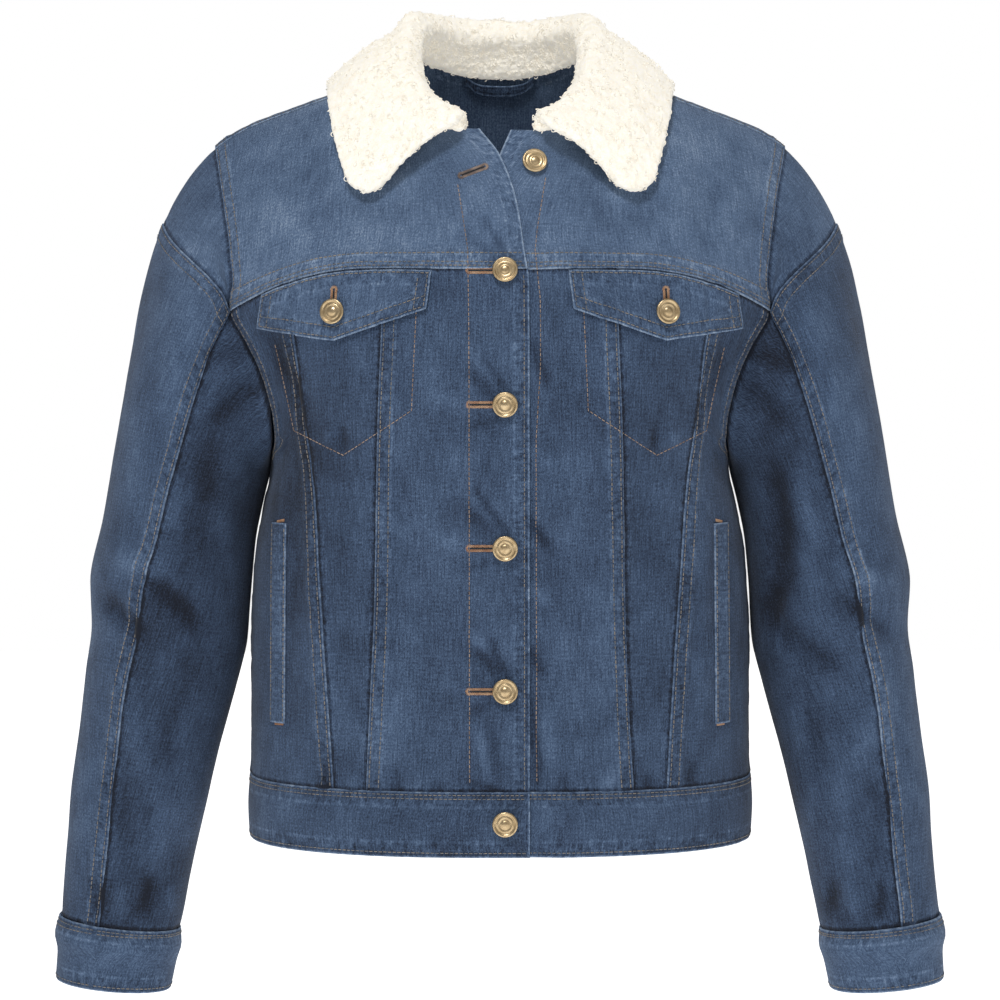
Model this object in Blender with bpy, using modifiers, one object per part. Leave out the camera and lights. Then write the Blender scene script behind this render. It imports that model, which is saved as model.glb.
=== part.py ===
"""A sherpa-collared denim jacket, buttoned up and filled out as it is worn, with nobody in it.

Frame: metres, +Z up, the wearer faces -Y, and the wearer's right side is at -X. The origin is where the wearer
holds the jacket up: midway between the two shoulder seams, at the height of the neck's side points.

The body is one form, worked out from a short table of cross-sections, and every panel is a patch of it. A sleeve is
a second form, that leaves the armhole along smooth curves and then follows a table of rings. Each cloth piece is an
open patch with a Solidify wall, and neighbours stay a seam gap apart. Lengths in the tables are in millimetres.
"""

import math

import bmesh
import bpy
import numpy as np
from mathutils import Vector

MM = 0.001
NAME = "sherpa_collar_denim_jacket"

# ---------------------------------------------------------------- driving dimensions, in millimetres
WALL = 1.4  # denim, as one ply of wall
SHERPA = 8.0  # backing and pile of the collar
SEAM_GAP = 0.62  # between two pieces that are sewn together
PATCH_LIFT = 2.1  # from a panel's middle to the middle of a piece that lies on it
UNDERLAP_DEPTH = 2.4  # how far the left front's button band lies behind the right front

WAIST_SEAM_Z = -513.0  # where the waistband starts
HEM_Z = -557.5
ARMPIT_Z = -285.0
NOTCH_Z = -183.0  # where the yoke seam meets the armhole
YOKE_SEAM_Z = -155.7  # the front yoke's seam across the chest
YOKE_SEAM_LEVEL_X = 90.0  # from here out it falls towards the notch
SHOULDER_BASE_Z = -186.0  # above this the form closes in towards the shoulder ridge
FRONT_NECK_Z = -58.0
BACK_YOKE_Z = -160.0
BACK_NECK_Z = -7.0
NECK_HALF_WIDTH = 66.0
FLAP_CLEAR = 1.2  # below the yoke seam
NECK_FLAT_X = 22.0  # the front neckline runs level out to here

SECTION_POWER = 2.4  # 2 is an ellipse, more is squarer
RIDGE_POWER = 1.6  # how round the shoulder ridge is
RIDGE_Y = 8.0  # the ridge lies a little behind the side seams
SEAM_ANGLE = 100.0  # the shoulder seam lies this far round the ridge, in degrees: 90 is the ridge itself
NECK_RISE = 70.0  # how far the form rises into the neck
NECK_RISE_WIDTH = 80.0
BUST = {"x": 76.0, "z": -232.0, "radius": 62.0, "fullness": 6.0}

# height, half width, depth in front of the side seams, depth behind them
TORSO_COLUMNS = ("z", "half_width", "front", "back")
TORSO = (
    (-566.0, 178.5, 123.5, 106.5),
    (-535.0, 180.0, 123.5, 106.5),
    (-513.0, 178.8, 121.0, 104.0),
    (-500.0, 178.0, 119.5, 102.5),
    (-420.0, 178.0, 117.0, 98.0),
    (-361.0, 175.0, 117.0, 96.0),
    (-322.0, 168.5, 118.5, 97.0),
    (-300.0, 163.5, 119.5, 99.0),
    (-285.0, 162.0, 120.0, 100.0),
    (-272.0, 164.0, 120.5, 101.0),
    (-245.0, 170.0, 120.5, 103.0),
    (-223.0, 178.0, 119.5, 104.5),
    (-183.0, 203.0, 116.0, 106.5),
    (-162.0, 208.0, 115.0, 106.5),
    (-144.0, 211.0, 114.0, 106.0),
    (-110.0, 213.0, 111.0, 104.0),
    (-70.0, 213.0, 108.0, 99.0),
    (90.0, 213.0, 104.0, 92.0),
)
# the line of the shoulders from the middle outwards
SHOULDER_COLUMNS = ("x", "z")
SHOULDER = ((0.0, 2.0), (66.0, -8.0), (119.0, -26.5), (149.0, -37.6), (186.0, -52.5), (206.0, -66.5), (216.0, -76.0))
# the armhole's edge, from the armpit up: the same in front and behind
ARMHOLE_COLUMNS = ("z", "x")
ARMHOLE = (
    (-285.0, 162.0),
    (-281.0, 159.8),
    (-272.0, 158.0),
    (-260.0, 158.6),
    (-245.0, 161.5),
    (-223.0, 168.5),
    (-203.0, 178.0),
    (-183.0, 188.0),
    (-162.0, 186.0),
    (-144.0, 188.0),
    (-107.0, 194.5),
    (-80.0, 200.5),
    (-65.0, 204.0),
    (-50.0, 206.0),
)
# the two shaping seams of each front, and the front edges, by height
SEAM_COLUMNS = ("z", "inner", "outer")
FRONT_SEAMS = (
    (-515.0, 92.0, 114.5),
    (-466.0, 89.5, 117.5),
    (-411.0, 87.0, 121.0),
    (-372.0, 85.8, 123.6),
    (-317.0, 84.8, 127.2),
    (-290.0, 84.2, 130.2),
    (-253.0, 83.0, 135.8),
    (-200.0, 81.0, 141.6),
    (-150.0, 80.0, 146.0),
)
# each front's edge, measured out from the middle towards its own side, so an overlap is negative
EDGE_COLUMNS = ("z", "over", "under")
FRONT_EDGES = (
    (-570.0, -20.4, -15.0),
    (-165.0, -20.0, -15.0),
    (-144.0, -16.9, -13.0),
    (-110.0, -11.7, -8.5),
    (-78.0, -0.7, -1.0),
    (-58.0, 14.0, 7.5),
)

# rings of a sleeve: the ends of its width in the front view, how deep it is, how far forward its middle lies, and
# how far round from the outside its two seams lie, in degrees
RING_COLUMNS = ("outer_x", "outer_z", "inner_x", "inner_z", "half_depth", "middle_y", "front_seam", "back_seam")
SLEEVE_RINGS = (
    (274.0, -268.0, 166.6, -299.0, 62.0, 2.0, 86.0, 96.0),
    (279.8, -301.0, 172.2, -322.0, 60.5, 1.5, 84.0, 98.0),
    (285.4, -333.0, 176.8, -347.0, 58.5, 1.0, 82.0, 100.0),
    (294.2, -376.0, 180.6, -391.0, 57.0, -1.0, 77.0, 102.0),
    (293.0, -406.0, 182.4, -417.0, 54.0, -3.0, 73.0, 102.0),
    (296.8, -439.0, 190.2, -451.0, 51.0, -6.0, 71.0, 102.0),
    (302.2, -485.0, 202.3, -495.5, 47.0, -10.0, 72.0, 102.0),
    (307.4, -524.0, 212.0, -536.5, 43.5, -13.5, 74.0, 102.0),
    (309.6, -560.0, 219.8, -572.0, 40.5, -16.5, 75.0, 102.0),
    (314.0, -612.5, 230.6, -622.8, 37.5, -19.5, 76.0, 102.0),
)
CUFF_RINGS = (
    (317.2, -613.4, 228.8, -624.2, 39.5, -19.6, 76.0, 102.0),
    (318.2, -626.0, 230.4, -636.0, 40.5, -20.0, 76.0, 102.0),
    (316.0, -639.0, 234.0, -647.0, 37.0, -20.6, 76.0, 102.0),
    (317.0, -659.0, 238.0, -667.0, 36.0, -21.5, 76.0, 102.0),
)
SLEEVE_LEAVES = {"top": (0.74, 0.0, -0.67), "armpit": (0.12, 0.0, -0.99)}  # directions at the armhole
SLEEVE_STANDS_OFF = {"top": 0.3, "armpit": 3.0}  # outwards from the body's edge
CAP_DEPTH = 0.31  # of the way from armhole to first ring, at the shoulder
SLEEVE_POWER = 2.1
HEAD_LENGTH = 100.0  # about how long the head is, which turns a seam gap into a share of it
SLEEVE_SEAM_TURN = 0.0012  # half a sleeve seam's gap, as a share of a turn
CAP_TIP_TURN = 0.013  # the cap's points end this far short of the sleeve's seams

# the collar, from its front end to the middle of the back: the seam's place along the neckline (0 front end, 1 middle
# of the back), the stand's height, its lean towards the neck, and where the outer edge lies on the body form: in
# front of the shoulder ridge (1), on it (0) or behind it (-1)
COLLAR_COLUMNS = ("along", "stand", "lean", "roll_radius", "edge_x", "edge_z", "edge_side")
COLLAR = (
    (0.00, 5.5, 1.5, 6.4, 79.0, -96.0, 1.0),
    (0.07, 7.0, 2.0, 6.5, 88.0, -101.5, 1.0),
    (0.16, 9.0, 3.0, 6.7, 99.5, -97.0, 1.0),
    (0.28, 12.0, 4.5, 7.2, 108.0, -74.0, 1.0),
    (0.40, 15.0, 6.0, 7.8, 115.0, -48.0, 1.0),
    (0.52, 18.5, 7.5, 8.3, 118.5, -27.5, 0.0),
    (0.66, 23.0, 8.0, 8.6, 106.0, -30.0, -1.0),
    (0.82, 28.0, 8.0, 8.8, 72.0, -33.0, -1.0),
    (1.00, 31.0, 8.0, 8.8, 0.0, -34.0, -1.0),
)
COLLAR_FRONT_X = 27.0  # where the collar ends on each front neckline
COLLAR_CLEAR = 1.4  # between the neck seam and the stand's foot
COLLAR_LIFT = 6.6  # the outer edge's middle above the yoke
UNDER_COLLAR_IN = 5.2  # between the middles of the sherpa and of the denim under it
UNDER_COLLAR_FROM = 0.6  # it starts this far along the collar's width, just past the roll
UNDER_COLLAR_INSET = 0.3  # of its last row of faces, back from the outer edge

FLAP = {"top_x": (46.6, 164.0), "foot": ((50.0, -183.3), (81.5, -193.8), (113.0, -204.4), (140.0, -199.5), (167.3, -194.6))}
WELT = {"x_top": (148.5, 159.0), "x_foot": (149.5, 160.0), "z_top": -331.5, "z_foot": -471.0}
LOOP = {"half_span": 25.0, "top": -9.0, "drop": 6.5, "width": 7.5, "thick": 1.8, "clear": 3.6}

BUTTON_HEIGHTS = (-156.8, -248.1, -346.2, -444.3, -534.4)
BUTTON_X = 3.5
TOP_BUTTON = {"x": 23.5, "z": -81.5}
FLAP_BUTTON = {"x": 113.0, "z": -185.0}
BUTTON_CLEAR = 0.55
# radius and height above the cloth, from the shank's foot round to the top's middle
BUTTON_PROFILE = (
    (0.0, 0.0),
    (3.0, 0.0),
    (3.0, 2.0),
    (8.4, 2.2),
    (8.6, 3.6),
    (7.4, 4.2),
    (6.2, 3.5),
    (3.0, 3.7),
    (0.0, 4.5),
)
BUTTON_SIDES = 14

# name: base colour, roughness, metallic
FINISHES = {
    "denim": ((0.068, 0.112, 0.205), 0.92, 0.0),
    "denim_dark": ((0.030, 0.045, 0.085), 0.95, 0.0),
    "sherpa": ((0.86, 0.82, 0.72), 1.0, 0.0),
    "brass": ((0.66, 0.50, 0.26), 0.36, 1.0),
}


# ---------------------------------------------------------------- reading the tables
def column(table, names, name):
    """One named column of a table, as an array."""
    return np.array([row[names.index(name)] for row in table], float)


def through(knots, values, at):
    """A smooth curve through a table's rows: cubic pieces whose slopes are the flatter mean of their neighbours'."""
    knots, values = np.asarray(knots, float), np.asarray(values, float)
    steps = np.diff(knots)
    slopes = np.diff(values) / steps
    inner = np.where(
        slopes[:-1] * slopes[1:] > 0,
        2 * slopes[:-1] * slopes[1:] / np.where(slopes[:-1] + slopes[1:] == 0, 1, slopes[:-1] + slopes[1:]),
        0.0,
    )
    tangent = np.concatenate([slopes[:1], inner, slopes[-1:]])
    at = np.clip(np.asarray(at, float), knots[0], knots[-1])
    k = np.clip(np.searchsorted(knots, at, side="right") - 1, 0, len(steps) - 1)
    u = (at - knots[k]) / steps[k]
    return (
        values[k] * (1 + 2 * u) * (1 - u) ** 2
        + tangent[k] * steps[k] * u * (1 - u) ** 2
        + values[k + 1] * u * u * (3 - 2 * u)
        + tangent[k + 1] * steps[k] * u * u * (u - 1)
    )


def torso_size(name, z):
    return through(column(TORSO, TORSO_COLUMNS, "z"), column(TORSO, TORSO_COLUMNS, name), z)


def shoulder_line(x):
    """Height of the form's ridge at x: the shoulder's slope, and its rise into the neck."""
    x = np.abs(x)
    slope = through(column(SHOULDER, SHOULDER_COLUMNS, "x"), column(SHOULDER, SHOULDER_COLUMNS, "z"), x)
    return slope + NECK_RISE * np.clip(1 - (x / NECK_RISE_WIDTH) ** 2, 0, 1) ** 2


def armhole_x(z):
    return through(column(ARMHOLE, ARMHOLE_COLUMNS, "z"), column(ARMHOLE, ARMHOLE_COLUMNS, "x"), z)


def seam_x(name, z):
    return through(column(FRONT_SEAMS, SEAM_COLUMNS, "z"), column(FRONT_SEAMS, SEAM_COLUMNS, name), z)


def edge_x(name, z):
    return through(column(FRONT_EDGES, EDGE_COLUMNS, "z"), column(FRONT_EDGES, EDGE_COLUMNS, name), z)


def falling_seam(x, level_z, level_x):
    """A seam that is level in the middle and falls to the armhole's notch."""
    notch_x = float(armhole_x(NOTCH_Z))
    share = np.clip((np.abs(x) - level_x) / (notch_x - level_x), 0, 1)
    return level_z + (NOTCH_Z - level_z) * share * share


def yoke_seam_z(x):
    return falling_seam(x, YOKE_SEAM_Z, YOKE_SEAM_LEVEL_X)


def back_yoke_seam_z(x):
    return falling_seam(x, BACK_YOKE_Z, 60.0)


# ---------------------------------------------------------------- the body form
def side_angle(x, z):
    """How far round the section x lies: 0 in the middle, 90 degrees at the side seam, in radians."""
    share = np.clip(np.abs(x) / torso_size("half_width", z), 0, 1)
    return np.sign(x) * np.arcsin(share ** (SECTION_POWER / 2))


def side_x(angle, z):
    """The x at that angle round the section: the reverse of side_angle."""
    return np.sign(angle) * torso_size("half_width", z) * np.abs(np.sin(angle)) ** (2 / SECTION_POWER)


def climb(x, z):
    """How far up the shoulder z is at x: 0 at the base, 90 degrees at the ridge, in radians."""
    share = np.clip((z - SHOULDER_BASE_Z) / (shoulder_line(x) - SHOULDER_BASE_Z), 0, 1)
    return np.arcsin(share ** (RIDGE_POWER / 2))


def height_at(x, angle):
    """The height at that climb: the reverse of climb. Past 90 degrees it comes down the other side."""
    return SHOULDER_BASE_Z + (shoulder_line(x) - SHOULDER_BASE_Z) * np.abs(np.sin(angle)) ** (2 / RIDGE_POWER)


def bust(x, z):
    near = ((np.abs(x) - BUST["x"]) ** 2 + (z - BUST["z"]) ** 2) / BUST["radius"] ** 2
    return BUST["fullness"] * np.exp(-near)


def form(x, z, front):
    """A point of the body form in front of or behind the side seams. Its depth is a squarish ellipse's, |x/a|^n +
    |y/b|^n = 1, and above the shoulder's base it is scaled by the like curve that ends at the ridge."""
    width = np.clip(np.abs(x) / torso_size("half_width", z), 0, 1)
    across = (1 - width**SECTION_POWER) ** (1 / SECTION_POWER)
    rise = climb(x, z)
    closing = np.cos(rise) ** (2 / RIDGE_POWER)
    depth = np.where(front, -torso_size("front", z) - bust(x, z), torso_size("back", z))
    lean = RIDGE_Y * np.sin(rise) ** (4 / RIDGE_POWER)
    return np.stack([x, depth * across * closing + lean, np.broadcast_to(z, np.shape(x)) + 0.0], axis=-1)


def shoulder_form(x, angle):
    """A point over the shoulder: angle 0 is behind at the base, 90 degrees the ridge, 180 in front at the base."""
    z = height_at(x, angle)
    width = np.clip(np.abs(x) / torso_size("half_width", z), 0, 1)
    across = (1 - width**SECTION_POWER) ** (1 / SECTION_POWER)
    closing = np.abs(np.cos(angle)) ** (2 / RIDGE_POWER)
    depth = np.where(np.cos(angle) < 0, -torso_size("front", z) - bust(x, z), torso_size("back", z))
    lean = RIDGE_Y * np.abs(np.sin(angle)) ** (4 / RIDGE_POWER)
    return np.stack([x, depth * across * closing + lean, z], axis=-1)


def armhole_over(angle):
    """(x, angle) of the armhole's edge over the shoulder: x depends on the height there, so it is found by repeating."""
    x = np.full(np.shape(angle), 195.0)
    for _ in range(40):
        x = 0.5 * x + 0.5 * armhole_x(height_at(x, angle))
    return x


def surface_normals(points):
    """Unit normals of a grid of points, from the differences of its neighbours."""
    along, up = np.gradient(points, axis=1), np.gradient(points, axis=0)
    normal = np.cross(along, up)
    return normal / np.maximum(np.linalg.norm(normal, axis=-1, keepdims=True), 1e-9)


def patch(bottom, top, left, right):
    """Coons patch: bottom and top run left to right, left and right run upwards, and all four meet at the corners."""
    c = np.linspace(0, 1, len(bottom))[None, :, None]
    v = spread_of(left, right)[:, None, None]
    flat = (1 - v) * bottom[None] + v * top[None] + (1 - c) * left[:, None] + c * right[:, None]
    corners = (1 - c) * (1 - v) * bottom[0] + c * (1 - v) * bottom[-1] + (1 - c) * v * top[0] + c * v * top[-1]
    return flat - corners


def spread_of(left, right):
    """How far up each row lies, from 0 to 1, as the mean of the two side edges."""
    shares = [(edge[:, 1] - edge[0, 1]) / (edge[-1, 1] - edge[0, 1]) for edge in (left, right)]
    return sum(shares) / 2


# ---------------------------------------------------------------- making Blender objects
def material(name):
    made = bpy.data.materials.get(name)
    if made is None:
        colour, roughness, metallic = FINISHES[name]
        made = bpy.data.materials.new(name)
        made.use_nodes = True
        shader = made.node_tree.nodes["Principled BSDF"]
        shader.inputs["Base Color"].default_value = (*colour, 1.0)
        shader.inputs["Roughness"].default_value = roughness
        shader.inputs["Metallic"].default_value = metallic
        made.diffuse_color = (*colour, 1.0)
    return made


def into_scene(name, mesh, finish):
    made = bpy.data.objects.new(name, mesh)
    mesh.materials.append(material(finish))
    bpy.data.collections[NAME].objects.link(made)
    return made


def cloth(name, points, finish="denim", wall=WALL, offset=0.0):
    """An open grid of points, in millimetres, with a Solidify wall. Its normals are turned by the grid's own order:
    columns run to the wearer's left as seen from outside, and rows upwards."""
    rows, columns = points.shape[:2]
    at = np.arange(rows * columns).reshape(rows, columns)
    faces = np.stack([at[:-1, :-1], at[:-1, 1:], at[1:, 1:], at[1:, :-1]], axis=-1).reshape(-1, 4)
    mesh = bpy.data.meshes.new(name)
    mesh.from_pydata((points.reshape(-1, 3) * MM).tolist(), [], faces.tolist())
    made = into_scene(name, mesh, finish)
    mesh.shade_smooth()
    shell = made.modifiers.new("wall", "SOLIDIFY")
    shell.thickness = wall * MM
    shell.offset = offset
    shell.use_even_offset = True
    return made


def mirrored(points):
    """The same piece on the other side, with its columns turned round so that it still faces outwards."""
    return (points * (-1.0, 1.0, 1.0))[:, ::-1]


def both_sides(stem, points, **options):
    """A piece worked out for the wearer's left, at +X, and its twin."""
    cloth(f"{stem}_left", points, **options)
    cloth(f"{stem}_right", mirrored(points), **options)


# ---------------------------------------------------------------- the fronts
def underlap(x):
    """How far behind the form the left front lies: fully under the right front's edge, and level past it."""
    share = np.clip((44.0 - x) / 20.0, 0, 1)
    return UNDERLAP_DEPTH * share * share * (3 - 2 * share)


def set_back(points):
    depth = underlap(points[..., 0])[..., None]
    return points - surface_normals(points) * depth


def lower_panel(inner, outer, rows, columns):
    """A front panel below the yoke seam. inner and outer give its edges' angle round the section by height."""
    share = np.linspace(0, 1, columns)
    top = np.full(columns, YOKE_SEAM_Z)
    for _ in range(8):
        top_angles = (1 - share) * inner(top) + share * outer(top)
        top = yoke_seam_z(side_x(top_angles, top)) - SEAM_GAP / 2
    lift = (rows - WAIST_SEAM_Z) / (rows[-1] - WAIST_SEAM_Z)
    z = WAIST_SEAM_Z + SEAM_GAP / 2 + lift[:, None] * (top - WAIST_SEAM_Z - SEAM_GAP / 2)[None]
    angle = (1 - share) * inner(z) + share * outer(z)
    return form(side_x(angle, z), z, True)


def shifted_seam(name, by):
    """A shaping seam's angle by height, moved outwards by some millimetres of width."""
    return lambda z: side_angle(seam_x(name, z) + by, z)


def shifted_edge(name):
    return lambda z: side_angle(edge_x(name, z), z)


def side_edge(z):
    """The side panel's outer edge: the side seam up to the armpit, then the armhole."""
    inset = SEAM_GAP / 2 / torso_size("front", z)
    up_arm = side_angle(armhole_x(z), z)
    return np.where(z < ARMPIT_Z, math.pi / 2 - inset, up_arm)


PANEL_ROWS = np.array([-513.0, -475.0, -435.0, -395.0, -355.0, -320.0, -290.0, -265.0, -240.0, -215.0, -183.0])
SIDE_ROWS = np.array(
    [-513.0, -470.0, -425.0, -385.0, -350.0, -322.0, -300.0, -285.0, -281.0, -272.0, -260.0, -245.0, -223.0, -203.0, -183.0]
)


def lower_fronts():
    gap = SEAM_GAP / 2
    for side, edge in (("left", "under"), ("right", "over")):
        centre = lower_panel(shifted_edge(edge), shifted_seam("inner", -gap), PANEL_ROWS, 6)
        if side == "left":
            centre = set_back(centre)
        cloth(f"front_centre_{side}", centre if side == "left" else mirrored(centre))
    both_sides("front_mid", lower_panel(shifted_seam("inner", gap), shifted_seam("outer", -gap), PANEL_ROWS, 4))
    both_sides("front_side", lower_panel(shifted_seam("outer", gap), side_edge, SIDE_ROWS, 6))


def neckline(edge, count):
    """(x, angle) along the front neckline, from the front's edge to the shoulder seam: level, then a quarter ellipse."""
    seam = math.radians(SEAM_ANGLE)
    top_z = float(height_at(NECK_HALF_WIDTH, seam))
    start = float(edge_x(edge, FRONT_NECK_Z))
    reach = NECK_HALF_WIDTH - NECK_FLAT_X
    level = max(NECK_FLAT_X - start, 0.0)
    quarter = math.pi / 4 * (reach + top_z - FRONT_NECK_Z)
    along = np.linspace(0, level + quarter, count)
    turn = math.pi / 2 - np.clip((along - level) / quarter, 0, 1) * math.pi / 2
    x = np.where(along < level, start + along, NECK_FLAT_X + (NECK_HALF_WIDTH - NECK_FLAT_X) * np.cos(turn))
    if level == 0.0:
        x = x + (start - NECK_FLAT_X) * (1 - along / quarter)
    z = np.where(along < level, FRONT_NECK_Z, top_z - (top_z - FRONT_NECK_Z) * np.sin(turn))
    angle = math.pi - climb(x, z)
    angle[-1] = seam
    return np.stack([x, angle], axis=-1)


def front_yoke(edge, neck_columns=7, shoulder_columns=6, rows=8):
    """A front yoke, as a patch in x and climb: the yoke seam, the neckline and shoulder seam, the edge, the armhole."""
    gap = SEAM_GAP / 2
    seam = math.radians(SEAM_ANGLE)
    columns = neck_columns + shoulder_columns - 1
    shoulder_end = float(armhole_over(np.array([seam]))[0])
    shoulder = np.stack([np.linspace(NECK_HALF_WIDTH, shoulder_end, shoulder_columns), np.full(shoulder_columns, seam)], axis=-1)
    top = np.concatenate([neckline(edge, neck_columns), shoulder[1:]])
    x = np.linspace(float(edge_x(edge, YOKE_SEAM_Z)), float(armhole_x(NOTCH_Z)), columns)
    bottom = np.stack([x, math.pi - climb(x, yoke_seam_z(x) + gap)], axis=-1)
    z = np.linspace(YOKE_SEAM_Z + gap, FRONT_NECK_Z, rows)
    x = edge_x(edge, z)
    left = np.stack([x, math.pi - climb(x, z)], axis=-1)
    angle = np.linspace(bottom[-1, 1], seam, rows)
    right = np.stack([armhole_over(angle), angle], axis=-1)
    left[0], left[-1], right[0], right[-1] = bottom[0], top[0], bottom[-1], top[-1]
    flat = patch(bottom, top, left, right)
    return shoulder_form(flat[..., 0], flat[..., 1] + math.radians(0.25) * (flat[..., 1] == seam))


# ---------------------------------------------------------------- the back
def back_panel(columns=15):
    """The back below its yoke, from one side seam round to the other: columns run towards the wearer's right."""
    inset = SEAM_GAP / 2
    rows = SIDE_ROWS
    share = np.linspace(1, -1, columns)
    lift = (rows - WAIST_SEAM_Z) / (rows[-1] - WAIST_SEAM_Z)
    top = np.full(columns, BACK_YOKE_Z)
    for _ in range(8):
        top = back_yoke_seam_z(side_x(share * side_angle(armhole_x(top), top), top)) - inset
    z = WAIST_SEAM_Z + inset + lift[:, None] * (top - WAIST_SEAM_Z - inset)[None]
    limit = np.where(z < ARMPIT_Z, math.pi / 2 - inset / torso_size("back", z), side_angle(armhole_x(z), z))
    return form(side_x(share[None] * limit, z), z, False)


def back_neckline(x):
    """The climb of the back neckline at x: lowest in the middle, and over the ridge to the shoulder seam at its ends."""
    middle = climb(0.0, BACK_NECK_Z)
    bow = 1 - np.sqrt(np.clip(1 - (x / NECK_HALF_WIDTH) ** 2, 0, 1))
    return middle + (math.radians(SEAM_ANGLE) - middle) * bow


def back_yoke(neck_columns=9, shoulder_columns=5, rows=9):
    """The back yoke, from the wearer's left to right: it goes over the ridge to the shoulder seam in front."""
    seam = math.radians(SEAM_ANGLE - 0.5)
    end = float(armhole_over(np.array([seam]))[0])
    neck_x = NECK_HALF_WIDTH * np.sin(np.linspace(1, -1, neck_columns) * math.pi / 2)
    shoulder_x = np.linspace(end, NECK_HALF_WIDTH, shoulder_columns)
    level = np.full(shoulder_columns - 1, seam)
    top = np.concatenate(
        [
            np.stack([shoulder_x[:-1], level], axis=-1),
            np.stack([neck_x, np.minimum(back_neckline(neck_x), seam)], axis=-1),
            np.stack([-shoulder_x[:-1][::-1], level], axis=-1),
        ]
    )
    x = np.linspace(1, -1, len(top)) * armhole_x(NOTCH_Z)
    bottom = np.stack([x, climb(x, back_yoke_seam_z(x) + SEAM_GAP / 2)], axis=-1)
    angle = np.linspace(bottom[0, 1], seam, rows)
    left = np.stack([armhole_over(angle), angle], axis=-1)
    left[0], left[-1] = bottom[0], top[0]
    right = left * (-1.0, 1.0)
    flat = patch(bottom, top, left, right)
    return shoulder_form(flat[..., 0], flat[..., 1])


# ---------------------------------------------------------------- the waistband
def waistband(rows=3):
    """One strip round the hem. It starts at the right front's edge, runs to the wearer's right, round the back and
    to the front again, where its end passes behind its start."""
    z = np.linspace(HEM_Z, WAIST_SEAM_Z - SEAM_GAP / 2, rows)
    quarter = math.pi / 2
    start = float(side_angle(np.array(-edge_x("over", HEM_Z)), HEM_Z))
    end = float(side_angle(np.array(edge_x("under", HEM_Z)), HEM_Z))
    front_over = np.linspace(start, -quarter, 12)
    behind = np.linspace(-quarter, quarter, 19)[1:-1]
    front_under = np.linspace(quarter, end, 14)
    strips = []
    for angles, front, under in ((front_over, True, False), (behind, False, False), (front_under, True, True)):
        angle, height = np.meshgrid(angles, z)
        points = form(side_x(angle, height), height, front)
        if under:
            inward = underlap(points[..., 0])[..., None]
            points = points + np.array([0.0, 1.0, 0.0]) * inward
        strips.append(points)
    return np.concatenate(strips, axis=1)[:, ::-1]


# ---------------------------------------------------------------- the sleeves
def evenly(points, count):
    """A polyline's points again, evenly spaced along it."""
    along = np.concatenate([[0.0], np.cumsum(np.linalg.norm(np.diff(points, axis=0), axis=1))])
    at = np.linspace(0, along[-1], count)
    return np.stack([np.interp(at, along, points[:, k]) for k in range(3)], axis=-1)


def armhole_loop(turns):
    """The armhole's edge at each turn: 0 the shoulder's top, 0.25 the front notch, 0.5 the armpit, 0.75 the back
    notch. Each quarter is measured along the edge."""
    fine = 200
    notch = float(climb(armhole_x(NOTCH_Z), NOTCH_Z))
    over = np.linspace(math.pi - notch, math.pi / 2, fine)
    x = armhole_over(over)
    front_over = shoulder_form(x, over)[::-1]
    back_over = shoulder_form(x, math.pi - over)[::-1]
    down = NOTCH_Z + (ARMPIT_Z - NOTCH_Z) * np.sin(np.linspace(0, 1, fine) * math.pi / 2)
    under = {side: form(armhole_x(down), down, side == "front") for side in ("front", "back")}
    quarters = [front_over, under["front"], under["back"][::-1], back_over[::-1]]
    quarters = [evenly(points, fine) for points in quarters]
    turns = np.asarray(turns) % 1.0
    quarter = np.minimum((turns * 4).astype(int), 3)
    place = (turns * 4 - quarter) * (fine - 1)
    return np.array(
        [
            [np.interp(p, np.arange(fine), quarters[q][:, k]) for k in range(3)]
            for q, p in zip(quarter, place, strict=True)
        ]
    )


def ring(row, turns):
    """A sleeve ring's points at each turn, 0.25 and 0.75 being its two seams: a squarish ellipse whose width is the
    row's two ends and whose depth is along Y."""
    values = dict(zip(RING_COLUMNS, row, strict=True))
    outer = np.array([values["outer_x"], values["middle_y"], values["outer_z"]])
    inner = np.array([values["inner_x"], values["middle_y"], values["inner_z"]])
    middle, half = (outer + inner) / 2, (outer - inner) / 2
    turns = np.asarray(turns) % 1.0
    angle = np.radians(
        np.interp(turns, (0, 0.25, 0.5, 0.75, 1), (0, values["front_seam"], 180, 360 - values["back_seam"], 360))
    )
    power = 2 / SLEEVE_POWER
    across = np.sign(np.cos(angle)) * np.abs(np.cos(angle)) ** power
    deep = np.sign(np.sin(angle)) * np.abs(np.sin(angle)) ** power
    return middle + across[:, None] * half + deep[:, None] * np.array([0.0, -values["half_depth"], 0.0])


def blend_by_height(turns, top, low):
    """top at the shoulder, low at the armpit, and a smooth mix between, round the loop."""
    share = (1 + np.cos(2 * np.pi * np.asarray(turns))) / 2
    return share[:, None] * np.asarray(top) + (1 - share)[:, None] * np.asarray(low)


def sleeve_head(turns, along):
    """The sleeve between the armhole, along 0, and its first ring, along 1: a cubic for each turn, which leaves the
    armhole in the sleeve's own direction and reaches the ring in line with the arm."""
    start = armhole_loop(turns)
    stand_off = blend_by_height(turns, (SLEEVE_STANDS_OFF["top"], 0, 0), (SLEEVE_STANDS_OFF["armpit"], 0, 0))
    first, second = ring(SLEEVE_RINGS[0], turns), ring(SLEEVE_RINGS[1], turns)
    end = first
    start = start + stand_off
    reach = np.linalg.norm(end - start, axis=1, keepdims=True)
    leave = blend_by_height(turns, SLEEVE_LEAVES["top"], SLEEVE_LEAVES["armpit"])
    leave = leave / np.linalg.norm(leave, axis=1, keepdims=True) * reach
    arrive = second - first
    arrive = arrive / np.linalg.norm(arrive, axis=1, keepdims=True) * reach
    u = np.asarray(along)[..., None]
    return (
        start * (1 + 2 * u) * (1 - u) ** 2
        + leave * u * (1 - u) ** 2
        + end * u * u * (3 - 2 * u)
        + arrive * u * u * (u - 1)
    )


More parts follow.
